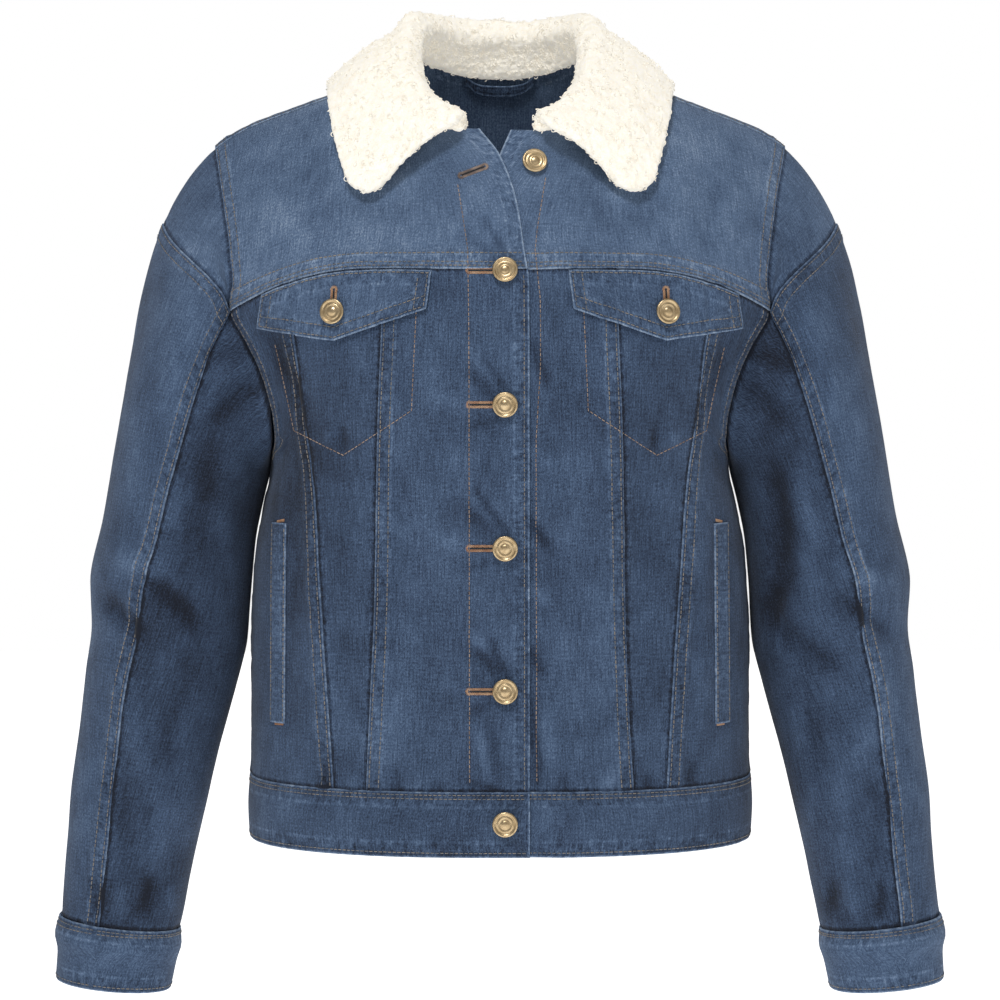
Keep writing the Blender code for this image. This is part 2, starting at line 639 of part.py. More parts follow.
def cap_seam(turns):
    """How far down the head the cap's lower seam lies, at each turn from the back notch over the top to the front."""
    return CAP_DEPTH * np.clip(np.cos(2 * np.pi * np.asarray(turns)), 0, 1) ** 0.85


def head_grid(turns, start, end, rows):
    """Rows of the head between two curves, start and end, each a share of the way down for every turn."""
    shares = np.linspace(0, 1, rows)[:, None]
    return np.stack([sleeve_head(turns, row) for row in start + shares * (end - start)])


def sleeve():
    """The four pieces of the left sleeve. Grids run round from the outside's back to its front, and rows run down, so
    each is turned over to face out."""
    gap = SEAM_GAP / 2 / HEAD_LENGTH
    edge, near = 0.25 - SLEEVE_SEAM_TURN, 0.25 - CAP_TIP_TURN
    over_turns = np.concatenate([[-edge], np.linspace(-near, near, 9), [edge]])
    under_turns = np.concatenate([[0.5 - edge], np.linspace(0.5 - near, 0.5 + near, 8), [0.5 + edge]])
    cap_turns = over_turns[1:-1]
    none = np.full(len(cap_turns), gap)
    cap = head_grid(cap_turns, none, cap_seam(cap_turns) - gap, 4)
    head = head_grid(over_turns, cap_seam(over_turns) + gap, np.ones(len(over_turns)), 6)
    over = np.concatenate([head, np.stack([ring(row, over_turns) for row in SLEEVE_RINGS[1:]])])
    none = np.full(len(under_turns), gap)
    head = head_grid(under_turns, none, np.ones(len(under_turns)), 6)
    under = np.concatenate([head, np.stack([ring(row, under_turns) for row in SLEEVE_RINGS[1:]])])
    cuff_turns = np.linspace(0.25, 1.25, 21)
    cuff = np.stack([ring(row, cuff_turns) for row in CUFF_RINGS])
    return {"sleeve_cap": cap, "sleeve_over": over, "sleeve_under": under, "cuff": cuff}


def closed_tube(name, points, finish="denim"):
    """A grid whose last column is its first again, welded into a tube with open ends."""
    made = cloth(name, points, finish)
    edit = bmesh.new()
    edit.from_mesh(made.data)
    bmesh.ops.remove_doubles(edit, verts=edit.verts, dist=0.00005)
    edit.to_mesh(made.data)
    edit.free()
    return made


def sleeves():
    for stem, points in sleeve().items():
        facing = points[:, ::-1]
        for side, grid in (("left", facing), ("right", mirrored(facing))):
            (closed_tube if stem == "cuff" else cloth)(f"{stem}_{side}", grid[::-1, ::-1])


# ---------------------------------------------------------------- the collar and the hanging loop
def neck_ring(count):
    """The seam that the collar is sewn to, from the left front end round the back to the right front end."""
    fine = 160
    front = neckline("over", fine)
    front = front[front[:, 0] >= COLLAR_FRONT_X]
    front_points = shoulder_form(front[:, 0], front[:, 1])
    x = NECK_HALF_WIDTH * np.cos(np.linspace(0, 1, fine) * math.pi / 2)
    back_points = shoulder_form(x, back_neckline(x))
    half = evenly(np.concatenate([front_points, back_points[1:]]), count)
    return half


def collar_value(name, along):
    return through(column(COLLAR, COLLAR_COLUMNS, "along"), column(COLLAR, COLLAR_COLUMNS, name), along)


def collar_edge(along):
    """(x, angle) of the collar's outer edge, from its place and height on the shoulder."""
    x, z = collar_value("edge_x", along), collar_value("edge_z", along)
    side = collar_value("edge_side", along)
    rise = climb(x, z)
    return x, math.pi / 2 + side * (math.pi / 2 - rise)


def form_normal(x, angle):
    """The outward normal of the shoulder form, from small steps each way."""
    step = 0.01
    across = shoulder_form(x + 1.0, angle) - shoulder_form(x - 1.0, angle)
    up = shoulder_form(x, angle + step) - shoulder_form(x, angle - step)
    normal = np.cross(up, across)
    return normal / np.linalg.norm(normal, axis=-1, keepdims=True)


def collar_half(columns, shares):
    """The middle surface of the collar's left half. Each column is a smooth curve from the neck seam, up the stand,
    round the roll and down the fall to the outer edge."""
    seam = neck_ring(columns)
    along = np.linspace(0, 1, columns)
    centre = np.array([0.0, -8.0, 0.0])
    out = seam - centre
    out[:, 2] = 0
    out = out / np.linalg.norm(out, axis=1, keepdims=True)
    out[-1] = (0.0, 1.0, 0.0)
    up = np.array([0.0, 0.0, 1.0])
    stand, lean = collar_value("stand", along)[:, None], collar_value("lean", along)[:, None]
    radius = collar_value("roll_radius", along)[:, None]
    edge_across, edge_angle = collar_edge(along)
    edge = shoulder_form(edge_across, edge_angle) + form_normal(edge_across, edge_angle) * COLLAR_LIFT
    foot = seam + up * COLLAR_CLEAR
    inner = foot + up * stand * 0.86 - out * lean
    apex = foot + up * (stand + radius * 0.5) - out * (lean - radius)
    outer = foot + up * stand * 0.80 - out * (lean - 2 * radius)
    fall = outer * 0.5 + edge * 0.5 + up * 3.5 + out * 1.0
    knots = np.array([0.0, 0.20, 0.36, 0.45, 0.54, 0.76, 1.0])
    points = np.stack([foot, foot * 0.45 + inner * 0.55 + out * 0.8, inner, apex, outer, fall, edge])
    flat = points.reshape(len(knots), -1)
    return np.stack([spline_at(knots, flat, s) for s in shares]).reshape(len(shares), columns, 3)


def spline_at(knots, values, s):
    """A smooth curve through the knots for whole rows of numbers: cubic pieces with slopes from the neighbours."""
    slopes = np.gradient(values, knots, axis=0)
    k = int(np.clip(np.searchsorted(knots, s, side="right") - 1, 0, len(knots) - 2))
    step = knots[k + 1] - knots[k]
    u = (s - knots[k]) / step
    return (
        values[k] * (1 + 2 * u) * (1 - u) ** 2
        + slopes[k] * step * u * (1 - u) ** 2
        + values[k + 1] * u * u * (3 - 2 * u)
        + slopes[k + 1] * step * u * u * (u - 1)
    )


def whole_collar(half):
    """Both halves as one grid, from the right front end round the back to the left front end."""
    right = half * (-1.0, 1.0, 1.0)
    return np.concatenate([right, half[:, ::-1][:, 1:]], axis=1)


def collar():
    shares = np.array([0.0, 0.15, 0.30, 0.37, 0.42, 0.455, 0.49, 0.54, 0.64, 0.76, 0.88, 1.0])
    whole = whole_collar(collar_half(14, shares))
    cloth("collar_sherpa", whole[::-1], finish="sherpa", wall=SHERPA)
    fall = whole[shares >= UNDER_COLLAR_FROM]
    under = (fall - surface_normals(fall) * UNDER_COLLAR_IN)[:, 1:-1]
    under[-1] = under[-2] * UNDER_COLLAR_INSET + under[-1] * (1 - UNDER_COLLAR_INSET)
    cloth("collar_under", under[::-1], finish="denim_dark")


def hanging_loop():
    """A short strip inside the back neck, bowed downwards between its two sewn ends."""
    share = np.linspace(-1, 1, 9)
    x = share * LOOP["half_span"]
    top = LOOP["top"] - LOOP["drop"] * (1 - share**4)
    rows = []
    for width in (0.0, LOOP["width"] / 2, LOOP["width"]):
        z = top - width * (1 - 0.25 * share**4)
        rows.append(form(x, z, False) - np.array([0.0, LOOP["clear"], 0.0]))
    return np.stack(rows)


# ---------------------------------------------------------------- flaps, welts and buttons
def flap():
    """A pocket flap on the left front: its top edge under the yoke seam, its foot cut to a point."""
    foot = np.array(FLAP["foot"])
    columns = 9
    share = np.linspace(0, 1, columns)
    foot_share = np.linspace(0, 1, len(foot))
    low = np.stack([np.interp(share, foot_share, foot[:, k]) for k in (0, 1)], axis=-1)
    x = FLAP["top_x"][0] + share * (FLAP["top_x"][1] - FLAP["top_x"][0])
    high = np.stack([x, yoke_seam_z(x) - FLAP_CLEAR], axis=-1)
    rows = np.linspace(0, 1, 4)[:, None, None]
    flat = low[None] * (1 - rows) + high[None] * rows
    points = form(flat[..., 0], flat[..., 1], True)
    return points + surface_normals(points) * PATCH_LIFT


def welt():
    """The side pocket's welt: a narrow strip on the left side panel."""
    rows, columns = 9, 3
    v = np.linspace(0, 1, rows)[:, None]
    c = np.linspace(0, 1, columns)[None]
    z = WELT["z_foot"] + v * (WELT["z_top"] - WELT["z_foot"]) + 0 * c
    ends = [WELT["x_foot"][k] * (1 - v) + WELT["x_top"][k] * v for k in (0, 1)]
    x = ends[0] * (1 - c) + ends[1] * c
    points = form(x, z, True)
    return points + surface_normals(points) * PATCH_LIFT


def button(name, place, normal, stand_off):
    """A shank button: its profile turned round its own axis, which is square to the cloth."""
    profile = [(radius, 0.0, height) for radius, height in BUTTON_PROFILE]
    mesh = bpy.data.meshes.new(name)
    mesh.from_pydata([Vector(p) * MM for p in reversed(profile)], [(i, i + 1) for i in range(len(profile) - 1)], [])
    made = into_scene(name, mesh, "brass")
    turn = made.modifiers.new("turned", "SCREW")
    turn.steps = turn.render_steps = BUTTON_SIDES
    turn.use_merge_vertices = True
    turn.merge_threshold = 0.00001
    turn.use_smooth_shade = False
    made.location = Vector(place + normal * stand_off) * MM
    made.rotation_mode = "QUATERNION"
    made.rotation_quaternion = Vector(normal).to_track_quat("Z", "Y")
    return made


def spot(x, z):
    """(point, outward normal) of the front form at x and z."""
    step = 1.0
    here = form(np.array([x]), np.array([z]), True)[0]
    across = form(np.array([x + step]), np.array([z]), True)[0] - here
    up = form(np.array([x]), np.array([z + step]), True)[0] - here
    normal = np.cross(across, up)
    return here, normal / np.linalg.norm(normal)


def buttons():
    off_front = WALL / 2 + BUTTON_CLEAR
    for number, z in enumerate(BUTTON_HEIGHTS):
        button(f"button_front_{number + 2}", *spot(BUTTON_X, z), off_front)
    place, normal = spot(TOP_BUTTON["x"], TOP_BUTTON["z"])
    button("button_front_1", place, normal, off_front - float(underlap(TOP_BUTTON["x"])))
    for side, sign in (("left", 1.0), ("right", -1.0)):
        place, normal = spot(FLAP_BUTTON["x"], FLAP_BUTTON["z"])
        mirror = np.array([sign, 1.0, 1.0])
        button(f"button_flap_{side}", place * mirror, normal * mirror, off_front + PATCH_LIFT)


# ---------------------------------------------------------------- the whole jacket
def clear_scene():
    for old in list(bpy.data.objects):
        bpy.data.objects.remove(old)
    made = bpy.data.collections.new(NAME)
    bpy.context.scene.collection.children.link(made)


def main():
    clear_scene()
    lower_fronts()
    cloth("front_yoke_left", set_back(front_yoke("under")))
    cloth("front_yoke_right", mirrored(front_yoke("over")))
    cloth("back_panel", back_panel())
    cloth("back_yoke", back_yoke())
    cloth("waistband", waistband())
    sleeves()
    collar()
    cloth("hanging_loop", hanging_loop(), wall=LOOP["thick"])
    both_sides("pocket_flap", flap())
    both_sides("pocket_welt", welt())
    buttons()


main()
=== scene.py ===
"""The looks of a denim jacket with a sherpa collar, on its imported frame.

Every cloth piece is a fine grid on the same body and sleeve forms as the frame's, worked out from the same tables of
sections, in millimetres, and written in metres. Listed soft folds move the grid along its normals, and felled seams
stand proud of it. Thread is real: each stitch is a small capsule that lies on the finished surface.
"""

import math

import bpy
import numpy as np
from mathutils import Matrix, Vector


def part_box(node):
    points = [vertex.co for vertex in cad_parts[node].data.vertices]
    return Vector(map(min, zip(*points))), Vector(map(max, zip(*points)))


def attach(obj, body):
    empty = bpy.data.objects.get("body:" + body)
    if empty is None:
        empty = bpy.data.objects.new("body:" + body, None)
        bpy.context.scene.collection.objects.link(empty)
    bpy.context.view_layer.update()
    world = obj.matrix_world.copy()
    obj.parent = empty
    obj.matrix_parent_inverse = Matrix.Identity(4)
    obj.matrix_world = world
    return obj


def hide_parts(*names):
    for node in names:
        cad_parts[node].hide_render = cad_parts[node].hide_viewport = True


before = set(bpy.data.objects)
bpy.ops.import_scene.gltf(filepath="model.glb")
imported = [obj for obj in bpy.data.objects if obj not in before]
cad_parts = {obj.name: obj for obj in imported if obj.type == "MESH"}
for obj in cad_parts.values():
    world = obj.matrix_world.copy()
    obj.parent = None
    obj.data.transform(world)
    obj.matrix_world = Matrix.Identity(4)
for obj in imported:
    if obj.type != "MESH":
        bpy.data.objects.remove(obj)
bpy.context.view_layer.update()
MM = 0.001

# ---------------------------------------------------------------- the frame's own sizes, in millimetres
SEAM_GAP = 0.62  # between two pieces that are sewn together
UNDERLAP_DEPTH = 2.4  # how far the left front's button band lies behind the right front

WAIST_SEAM_Z = -513.0  # where the waistband starts
HEM_Z = -557.5
ARMPIT_Z = -285.0
NOTCH_Z = -183.0  # where the yoke seam meets the armhole
YOKE_SEAM_Z = -155.7  # the front yoke's seam across the chest
YOKE_SEAM_LEVEL_X = 90.0  # from here out it falls towards the notch
SHOULDER_BASE_Z = -186.0  # above this the form closes in towards the shoulder ridge
FRONT_NECK_Z = -58.0
BACK_YOKE_Z = -160.0
BACK_NECK_Z = -7.0
NECK_HALF_WIDTH = 66.0
FLAP_CLEAR = 1.2  # below the yoke seam
NECK_FLAT_X = 22.0  # the front neckline runs level out to here

SECTION_POWER = 2.4  # 2 is an ellipse, more is squarer
RIDGE_POWER = 1.6  # how round the shoulder ridge is
RIDGE_Y = 8.0  # the ridge lies a little behind the side seams
SEAM_ANGLE = 100.0  # the shoulder seam lies this far round the ridge, in degrees: 90 is the ridge itself
NECK_RISE = 70.0  # how far the form rises into the neck
NECK_RISE_WIDTH = 80.0
BUST = {"x": 76.0, "z": -232.0, "radius": 62.0, "fullness": 6.0}

# height, half width, depth in front of the side seams, depth behind them
TORSO_COLUMNS = ("z", "half_width", "front", "back")
TORSO = (
    (-566.0, 178.5, 123.5, 106.5),
    (-535.0, 180.0, 123.5, 106.5),
    (-513.0, 178.8, 121.0, 104.0),
    (-500.0, 178.0, 119.5, 102.5),
    (-420.0, 178.0, 117.0, 98.0),
    (-361.0, 175.0, 117.0, 96.0),
    (-322.0, 168.5, 118.5, 97.0),
    (-300.0, 163.5, 119.5, 99.0),
    (-285.0, 162.0, 120.0, 100.0),
    (-272.0, 164.0, 120.5, 101.0),
    (-245.0, 170.0, 120.5, 103.0),
    (-223.0, 178.0, 119.5, 104.5),
    (-183.0, 203.0, 116.0, 106.5),
    (-162.0, 208.0, 115.0, 106.5),
    (-144.0, 211.0, 114.0, 106.0),
    (-110.0, 213.0, 111.0, 104.0),
    (-70.0, 213.0, 108.0, 99.0),
    (90.0, 213.0, 104.0, 92.0),
)
# the line of the shoulders from the middle outwards
SHOULDER_COLUMNS = ("x", "z")
SHOULDER = ((0.0, 2.0), (66.0, -8.0), (119.0, -26.5), (149.0, -37.6), (186.0, -52.5), (206.0, -66.5), (216.0, -76.0))
# the armhole's edge, from the armpit up: the same in front and behind
ARMHOLE_COLUMNS = ("z", "x")
ARMHOLE = (
    (-285.0, 162.0),
    (-281.0, 159.8),
    (-272.0, 158.0),
    (-260.0, 158.6),
    (-245.0, 161.5),
    (-223.0, 168.5),
    (-203.0, 178.0),
    (-183.0, 188.0),
    (-162.0, 186.0),
    (-144.0, 188.0),
    (-107.0, 194.5),
    (-80.0, 200.5),
    (-65.0, 204.0),
    (-50.0, 206.0),
)
# the two shaping seams of each front, and the front edges, by height
SEAM_COLUMNS = ("z", "inner", "outer")
FRONT_SEAMS = (
    (-515.0, 92.0, 114.5),
    (-466.0, 89.5, 117.5),
    (-411.0, 87.0, 121.0),
    (-372.0, 85.8, 123.6),
    (-317.0, 84.8, 127.2),
    (-290.0, 84.2, 130.2),
    (-253.0, 83.0, 135.8),
    (-200.0, 81.0, 141.6),
    (-150.0, 80.0, 146.0),
)
# each front's edge, measured out from the middle towards its own side, so an overlap is negative
EDGE_COLUMNS = ("z", "over", "under")
FRONT_EDGES = (
    (-570.0, -20.4, -15.0),
    (-165.0, -20.0, -15.0),
    (-144.0, -16.9, -13.0),
    (-110.0, -11.7, -8.5),
    (-78.0, -0.7, -1.0),
    (-58.0, 14.0, 7.5),
)

# rings of a sleeve: the ends of its width in the front view, how deep it is, how far forward its middle lies, and
# how far round from the outside its two seams lie, in degrees
RING_COLUMNS = ("outer_x", "outer_z", "inner_x", "inner_z", "half_depth", "middle_y", "front_seam", "back_seam")
SLEEVE_RINGS = (
    (274.0, -268.0, 166.6, -299.0, 62.0, 2.0, 86.0, 96.0),
    (279.8, -301.0, 172.2, -322.0, 60.5, 1.5, 84.0, 98.0),
    (285.4, -333.0, 176.8, -347.0, 58.5, 1.0, 82.0, 100.0),
    (294.2, -376.0, 180.6, -391.0, 57.0, -1.0, 77.0, 102.0),
    (293.0, -406.0, 182.4, -417.0, 54.0, -3.0, 73.0, 102.0),
    (296.8, -439.0, 190.2, -451.0, 51.0, -6.0, 71.0, 102.0),
    (302.2, -485.0, 202.3, -495.5, 47.0, -10.0, 72.0, 102.0),
    (307.4, -524.0, 212.0, -536.5, 43.5, -13.5, 74.0, 102.0),
    (309.6, -560.0, 219.8, -572.0, 40.5, -16.5, 75.0, 102.0),
    (314.0, -612.5, 230.6, -622.8, 37.5, -19.5, 76.0, 102.0),
)
CUFF_RINGS = (
    (317.2, -613.4, 228.8, -624.2, 39.5, -19.6, 76.0, 102.0),
    (318.2, -626.0, 230.4, -636.0, 40.5, -20.0, 76.0, 102.0),
    (316.0, -639.0, 234.0, -647.0, 37.0, -20.6, 76.0, 102.0),
    (317.0, -659.0, 238.0, -667.0, 36.0, -21.5, 76.0, 102.0),
)
SLEEVE_LEAVES = {"top": (0.74, 0.0, -0.67), "armpit": (0.12, 0.0, -0.99)}  # directions at the armhole
SLEEVE_STANDS_OFF = {"top": 0.3, "armpit": 3.0}  # outwards from the body's edge
CAP_DEPTH = 0.31  # of the way from armhole to first ring, at the shoulder
SLEEVE_POWER = 2.1
HEAD_LENGTH = 100.0  # about how long the head is, which turns a seam gap into a share of it
SLEEVE_SEAM_TURN = 0.0012  # half a sleeve seam's gap, as a share of a turn
CAP_TIP_TURN = 0.013  # the cap's points end this far short of the sleeve's seams

# the collar, from its front end to the middle of the back: the seam's place along the neckline (0 front end, 1 middle
# of the back), the stand's height, its lean towards the neck, and where the outer edge lies on the body form: in
# front of the shoulder ridge (1), on it (0) or behind it (-1)
COLLAR_COLUMNS = ("along", "stand", "lean", "roll_radius", "edge_x", "edge_z", "edge_side")
COLLAR = (
    (0.00, 5.5, 1.5, 6.4, 79.0, -96.0, 1.0),
    (0.07, 7.0, 2.0, 6.5, 88.0, -101.5, 1.0),
    (0.16, 9.0, 3.0, 6.7, 99.5, -97.0, 1.0),
    (0.28, 12.0, 4.5, 7.2, 108.0, -74.0, 1.0),
    (0.40, 15.0, 6.0, 7.8, 115.0, -48.0, 1.0),
    (0.52, 18.5, 7.5, 8.3, 118.5, -27.5, 0.0),
    (0.66, 23.0, 8.0, 8.6, 106.0, -30.0, -1.0),
    (0.82, 28.0, 8.0, 8.8, 72.0, -33.0, -1.0),
    (1.00, 31.0, 8.0, 8.8, 0.0, -34.0, -1.0),
)
COLLAR_FRONT_X = 27.0  # where the collar ends on each front neckline
COLLAR_CLEAR = 1.4  # between the neck seam and the stand's foot
COLLAR_LIFT = 6.6  # the outer edge's middle above the yoke
UNDER_COLLAR_IN = 5.2  # between the middles of the sherpa and of the denim under it
UNDER_COLLAR_FROM = 0.6  # it starts this far along the collar's width, just past the roll

FLAP = {
    "top_x": (46.6, 164.0),
    "foot": ((50.0, -183.3), (81.5, -193.8), (113.0, -204.4), (140.0, -199.5), (167.3, -194.6)),
}
WELT = {"x_top": (148.5, 159.0), "x_foot": (149.5, 160.0), "z_top": -331.5, "z_foot": -471.0}
LOOP = {"half_span": 25.0, "top": -9.0, "drop": 6.5, "width": 7.5, "thick": 1.8, "clear": 3.6}

BUTTON_HEIGHTS = (-156.8, -248.1, -346.2, -444.3, -534.4)
BUTTON_X = 3.5
TOP_BUTTON = {"x": 23.5, "z": -81.5}
FLAP_BUTTON = {"x": 113.0, "z": -185.0}

# ---------------------------------------------------------------- the looks' own sizes, in millimetres
CLOTH = 1.1  # thickness of the denim
PATCH_CLOTH = 1.5  # of the flaps and the welts
STEP = 3.2  # between a grid's lines
SLEEVE_STEP = 4.0
BACK_STEP = 4.4
HELD_NEAR_TUCK = 9.0  # a trough rises to nothing over this width, beside the band that holds it
BAND_MARKS = (0.0, 0.6, 1.9, 3.2, 5.0, 6.8, 8.2, 9.6, 11.0, 12.4, 14.5)  # grid lines across a felled seam
PLAIN_MARKS = (0.0, 1.2, 3.0, 5.4)
FREE_MARKS = (0.0, 0.8, 2.2, 4.0)
BAND_WIDTH = 11.0
BAND_RAISE = 0.95
STITCH_ROWS = (2.0, 8.6)  # from a felled seam's folded edge
STITCH = {"length": 2.5, "pitch": 3.3, "radius": 0.40}
TUCK = {"reach": 3.2, "depth": 1.5}  # how far a piece runs on under its neighbour's band, and how far in

CUFF_DRAWN_IN = 2.0
FOLD_DEPTH = 1.7  # how much of each fold below shows
FADE_AND_SHADE_WIDTH = 4.5  # half width of the widest fold whose fading and painted shade show in full

# soft troughs and ridges in the front view: start x and z, end x and z, half width, height
FRONT_FOLDS = (
    (-12.0, -118.0, 2.0, -146.0, 2.4, -0.9),
    (-22.0, -132.0, -4.0, -149.0, 4.0, -0.8),
    (-12.3, -216.0, 3.8, -238.0, 2.3, -1.1),
    (-22.0, -226.0, -3.0, -241.0, 4.5, -0.9),
    (-19.0, -211.0, -4.0, -229.0, 3.4, 0.6),
    (-20.0, -262.0, -2.0, -256.5, 4.2, -0.7),
    (-17.5, -306.0, 4.8, -334.0, 2.3, -1.3),
    (-25.0, -318.0, -6.0, -337.0, 5.0, -1.0),
    (-26.0, -305.0, -8.0, -323.0, 3.8, 0.7),
    (-20.0, -361.0, -4.0, -354.0, 4.0, -0.6),
    (-8.6, -407.0, 6.0, -434.0, 2.3, -1.3),
    (-18.6, -415.0, -0.6, -431.0, 4.5, -1.1),
    (-20.0, -403.0, -6.0, -417.0, 3.4, 0.7),
    (-22.0, -459.0, -4.0, -452.0, 4.0, -0.8),
    (-15.0, -468.0, -9.0, -506.0, 3.0, 0.8),
    (-8.0, -462.0, -3.0, -501.0, 4.0, -0.9),
    (-21.0, -506.0, 0.0, -511.0, 3.5, -1.1),
    (-49.0, -239.9, -23.2, -246.7, 5.5, 0.6),
    (-49.0, -338.0, -23.2, -344.8, 5.5, 0.9),
    (-49.0, -436.1, -23.2, -442.9, 5.5, 0.7),
    (22.0, -452.0, 26.0, -509.0, 3.5, -1.3),
    (31.0, -448.0, 36.0, -500.0, 6.0, 0.8),
    (21.1, -205.2, 34.7, -236.5, 3.6, -1.3),
    (20.4, -325.1, 33.4, -348.2, 3.6, -1.5),
    (19.7, -416.3, 32.0, -434.0, 3.4, -1.2),
    (21.1, -275.4, 32.7, -292.4, 4.0, 0.8),
    (20.4, -374.1, 35.4, -383.6, 4.0, 0.7),
    (-95.3, -316.2, -86.5, -493.3, 15.0, 0.9),
    (-73.5, -299.2, -79.0, -408.1, 11.0, -0.7),
    (95.3, -299.2, 86.5, -493.3, 13.0, -0.9),
    (76.3, -326.4, 80.4, -449.0, 11.0, 0.7),
    (-141.6, -292.4, -147.8, -479.7, 9.0, -1.2),
    (139.6, -291.0, 145.1, -472.8, 10.0, 1.0),
    (151.2, -326.4, 147.1, -421.8, 7.0, -0.9),
    (-128.0, -353.7, -121.2, -472.8, 8.0, 0.7),
    (-136.2, -67.6, -115.8, -133.0, 10.0, -1.0),
    (-158.0, -108.5, -136.2, -142.6, 8.0, 0.8),
    (129.4, -74.5, 113.7, -135.7, 9.0, 0.9),
    (148.5, -101.7, 136.2, -150.7, 8.0, -0.9),
    (-64.7, -118.7, -123.9, -100.3, 9.0, -0.6),
    (68.1, -119.4, 117.1, -105.8, 9.0, -0.7),
    (-162.1, -197.0, -134.2, -261.7, 7.0, -1.7),
    (-147.1, -188.9, -111.7, -207.3, 8.0, 0.9),
    (160.7, -200.4, 136.2, -263.8, 7.0, -1.5),
    (147.1, -191.6, 114.4, -212.0, 8.0, 0.8),
    (-47.7, -203.8, -42.2, -265.1, 12.0, 0.8),
    (-35.4, -380.9, -40.9, -462.6, 10.0, -0.8),
    (47.7, -203.8, 40.9, -271.9, 12.0, -0.8),
    (42.2, -380.9, 49.0, -469.4, 10.0, 0.8),
    (-123.9, -519.1, -119.9, -498.0, 4.5, -0.8),
    (-102.2, -519.1, -100.8, -503.5, 4.0, 0.7),
    (-70.8, -519.1, -73.5, -495.3, 5.0, -0.9),
    (-44.9, -519.1, -43.6, -504.8, 4.0, -0.7),
    (44.9, -519.1, 42.2, -500.8, 4.5, -0.8),
    (72.2, -519.1, 76.3, -496.7, 5.0, 0.8),
    (102.2, -519.1, 100.8, -502.1, 4.5, -0.9),
    (129.4, -519.1, 132.1, -496.7, 5.0, -0.7),
    (-109.0, -261.1, -105.6, -280.1, 3.2, -1.0),
    (109.0, -261.1, 105.6, -280.1, 3.2, -1.0),
    (-115.8, -265.1, -121.2, -276.0, 3.0, 0.6),
    (117.1, -266.5, 122.6, -276.0, 3.0, 0.6),
)
SLEEVE_FOLDS = (
    (-246.4, -374.1, -211.2, -405.1, 7.0, -2.6),
    (-285.1, -383.3, -246.4, -414.3, 7.0, -1.9),
    (-276.0, -355.1, -230.9, -366.4, 8.0, 1.6),
    (-167.6, -231.2, -202.0, -262.2, 8.0, -2.1),
    (-170.4, -210.1, -209.1, -218.6, 7.0, -1.4),
    (-199.9, -266.4, -207.7, -359.4, 10.0, -2.0),
    (-226.7, -294.6, -232.3, -357.9, 9.0, 1.2),
    (-268.9, -442.4, -239.4, -526.9, 9.0, 1.3),
    (-218.2, -424.8, -238.0, -502.3, 7.0, -1.4),
    (-284.4, -610.0, -280.9, -583.2, 5.0, -1.1),
    (-267.5, -610.0, -269.6, -587.4, 5.0, 1.0),
    (-252.0, -610.0, -248.5, -580.4, 5.0, -1.2),
    (-235.1, -610.0, -235.8, -588.9, 4.5, 0.8),
    (-278.1, -498.7, -261.9, -576.2, 9.0, -0.9),
    (-239.4, -519.9, -246.4, -583.2, 8.0, 0.9),
    (-246.4, -146.7, -267.5, -231.2, 10.0, -0.9),
    (-219.6, -174.9, -232.3, -259.4, 10.0, 0.9),
    (195.0, -289.7, 202.0, -367.1, 9.0, -3.0),
    (202.0, -367.1, 192.2, -403.7, 8.0, -2.6),
    (192.2, -403.7, 234.4, -429.8, 8.0, -2.8),
    (212.6, -294.6, 220.4, -366.4, 10.0, 1.8),
    (238.0, -386.1, 283.0, -414.3, 7.0, -2.1),
    (232.3, -357.9, 274.6, -375.5, 8.0, 1.5),
    (167.6, -231.2, 202.0, -263.6, 8.0, -2.1),
    (170.4, -210.1, 209.1, -218.6, 7.0, -1.3),
    (267.5, -442.4, 242.9, -526.9, 9.0, 1.3),
    (216.8, -456.5, 229.5, -512.8, 7.0, -1.3),
    (235.1, -610.0, 235.8, -586.0, 5.0, -1.1),
    (251.3, -610.0, 247.8, -583.2, 5.0, 1.0),
    (267.5, -610.0, 270.3, -581.8, 5.0, -1.2),
    (283.7, -610.0, 281.6, -588.9, 4.5, 0.8),
    (276.7, -498.7, 261.9, -576.2, 9.0, -0.9),
    (240.8, -519.9, 246.4, -583.2, 8.0, 0.9),
    (245.0, -148.2, 267.5, -234.7, 10.0, -0.9),
    (219.6, -174.9, 233.7, -259.4, 10.0, 1.0),
)
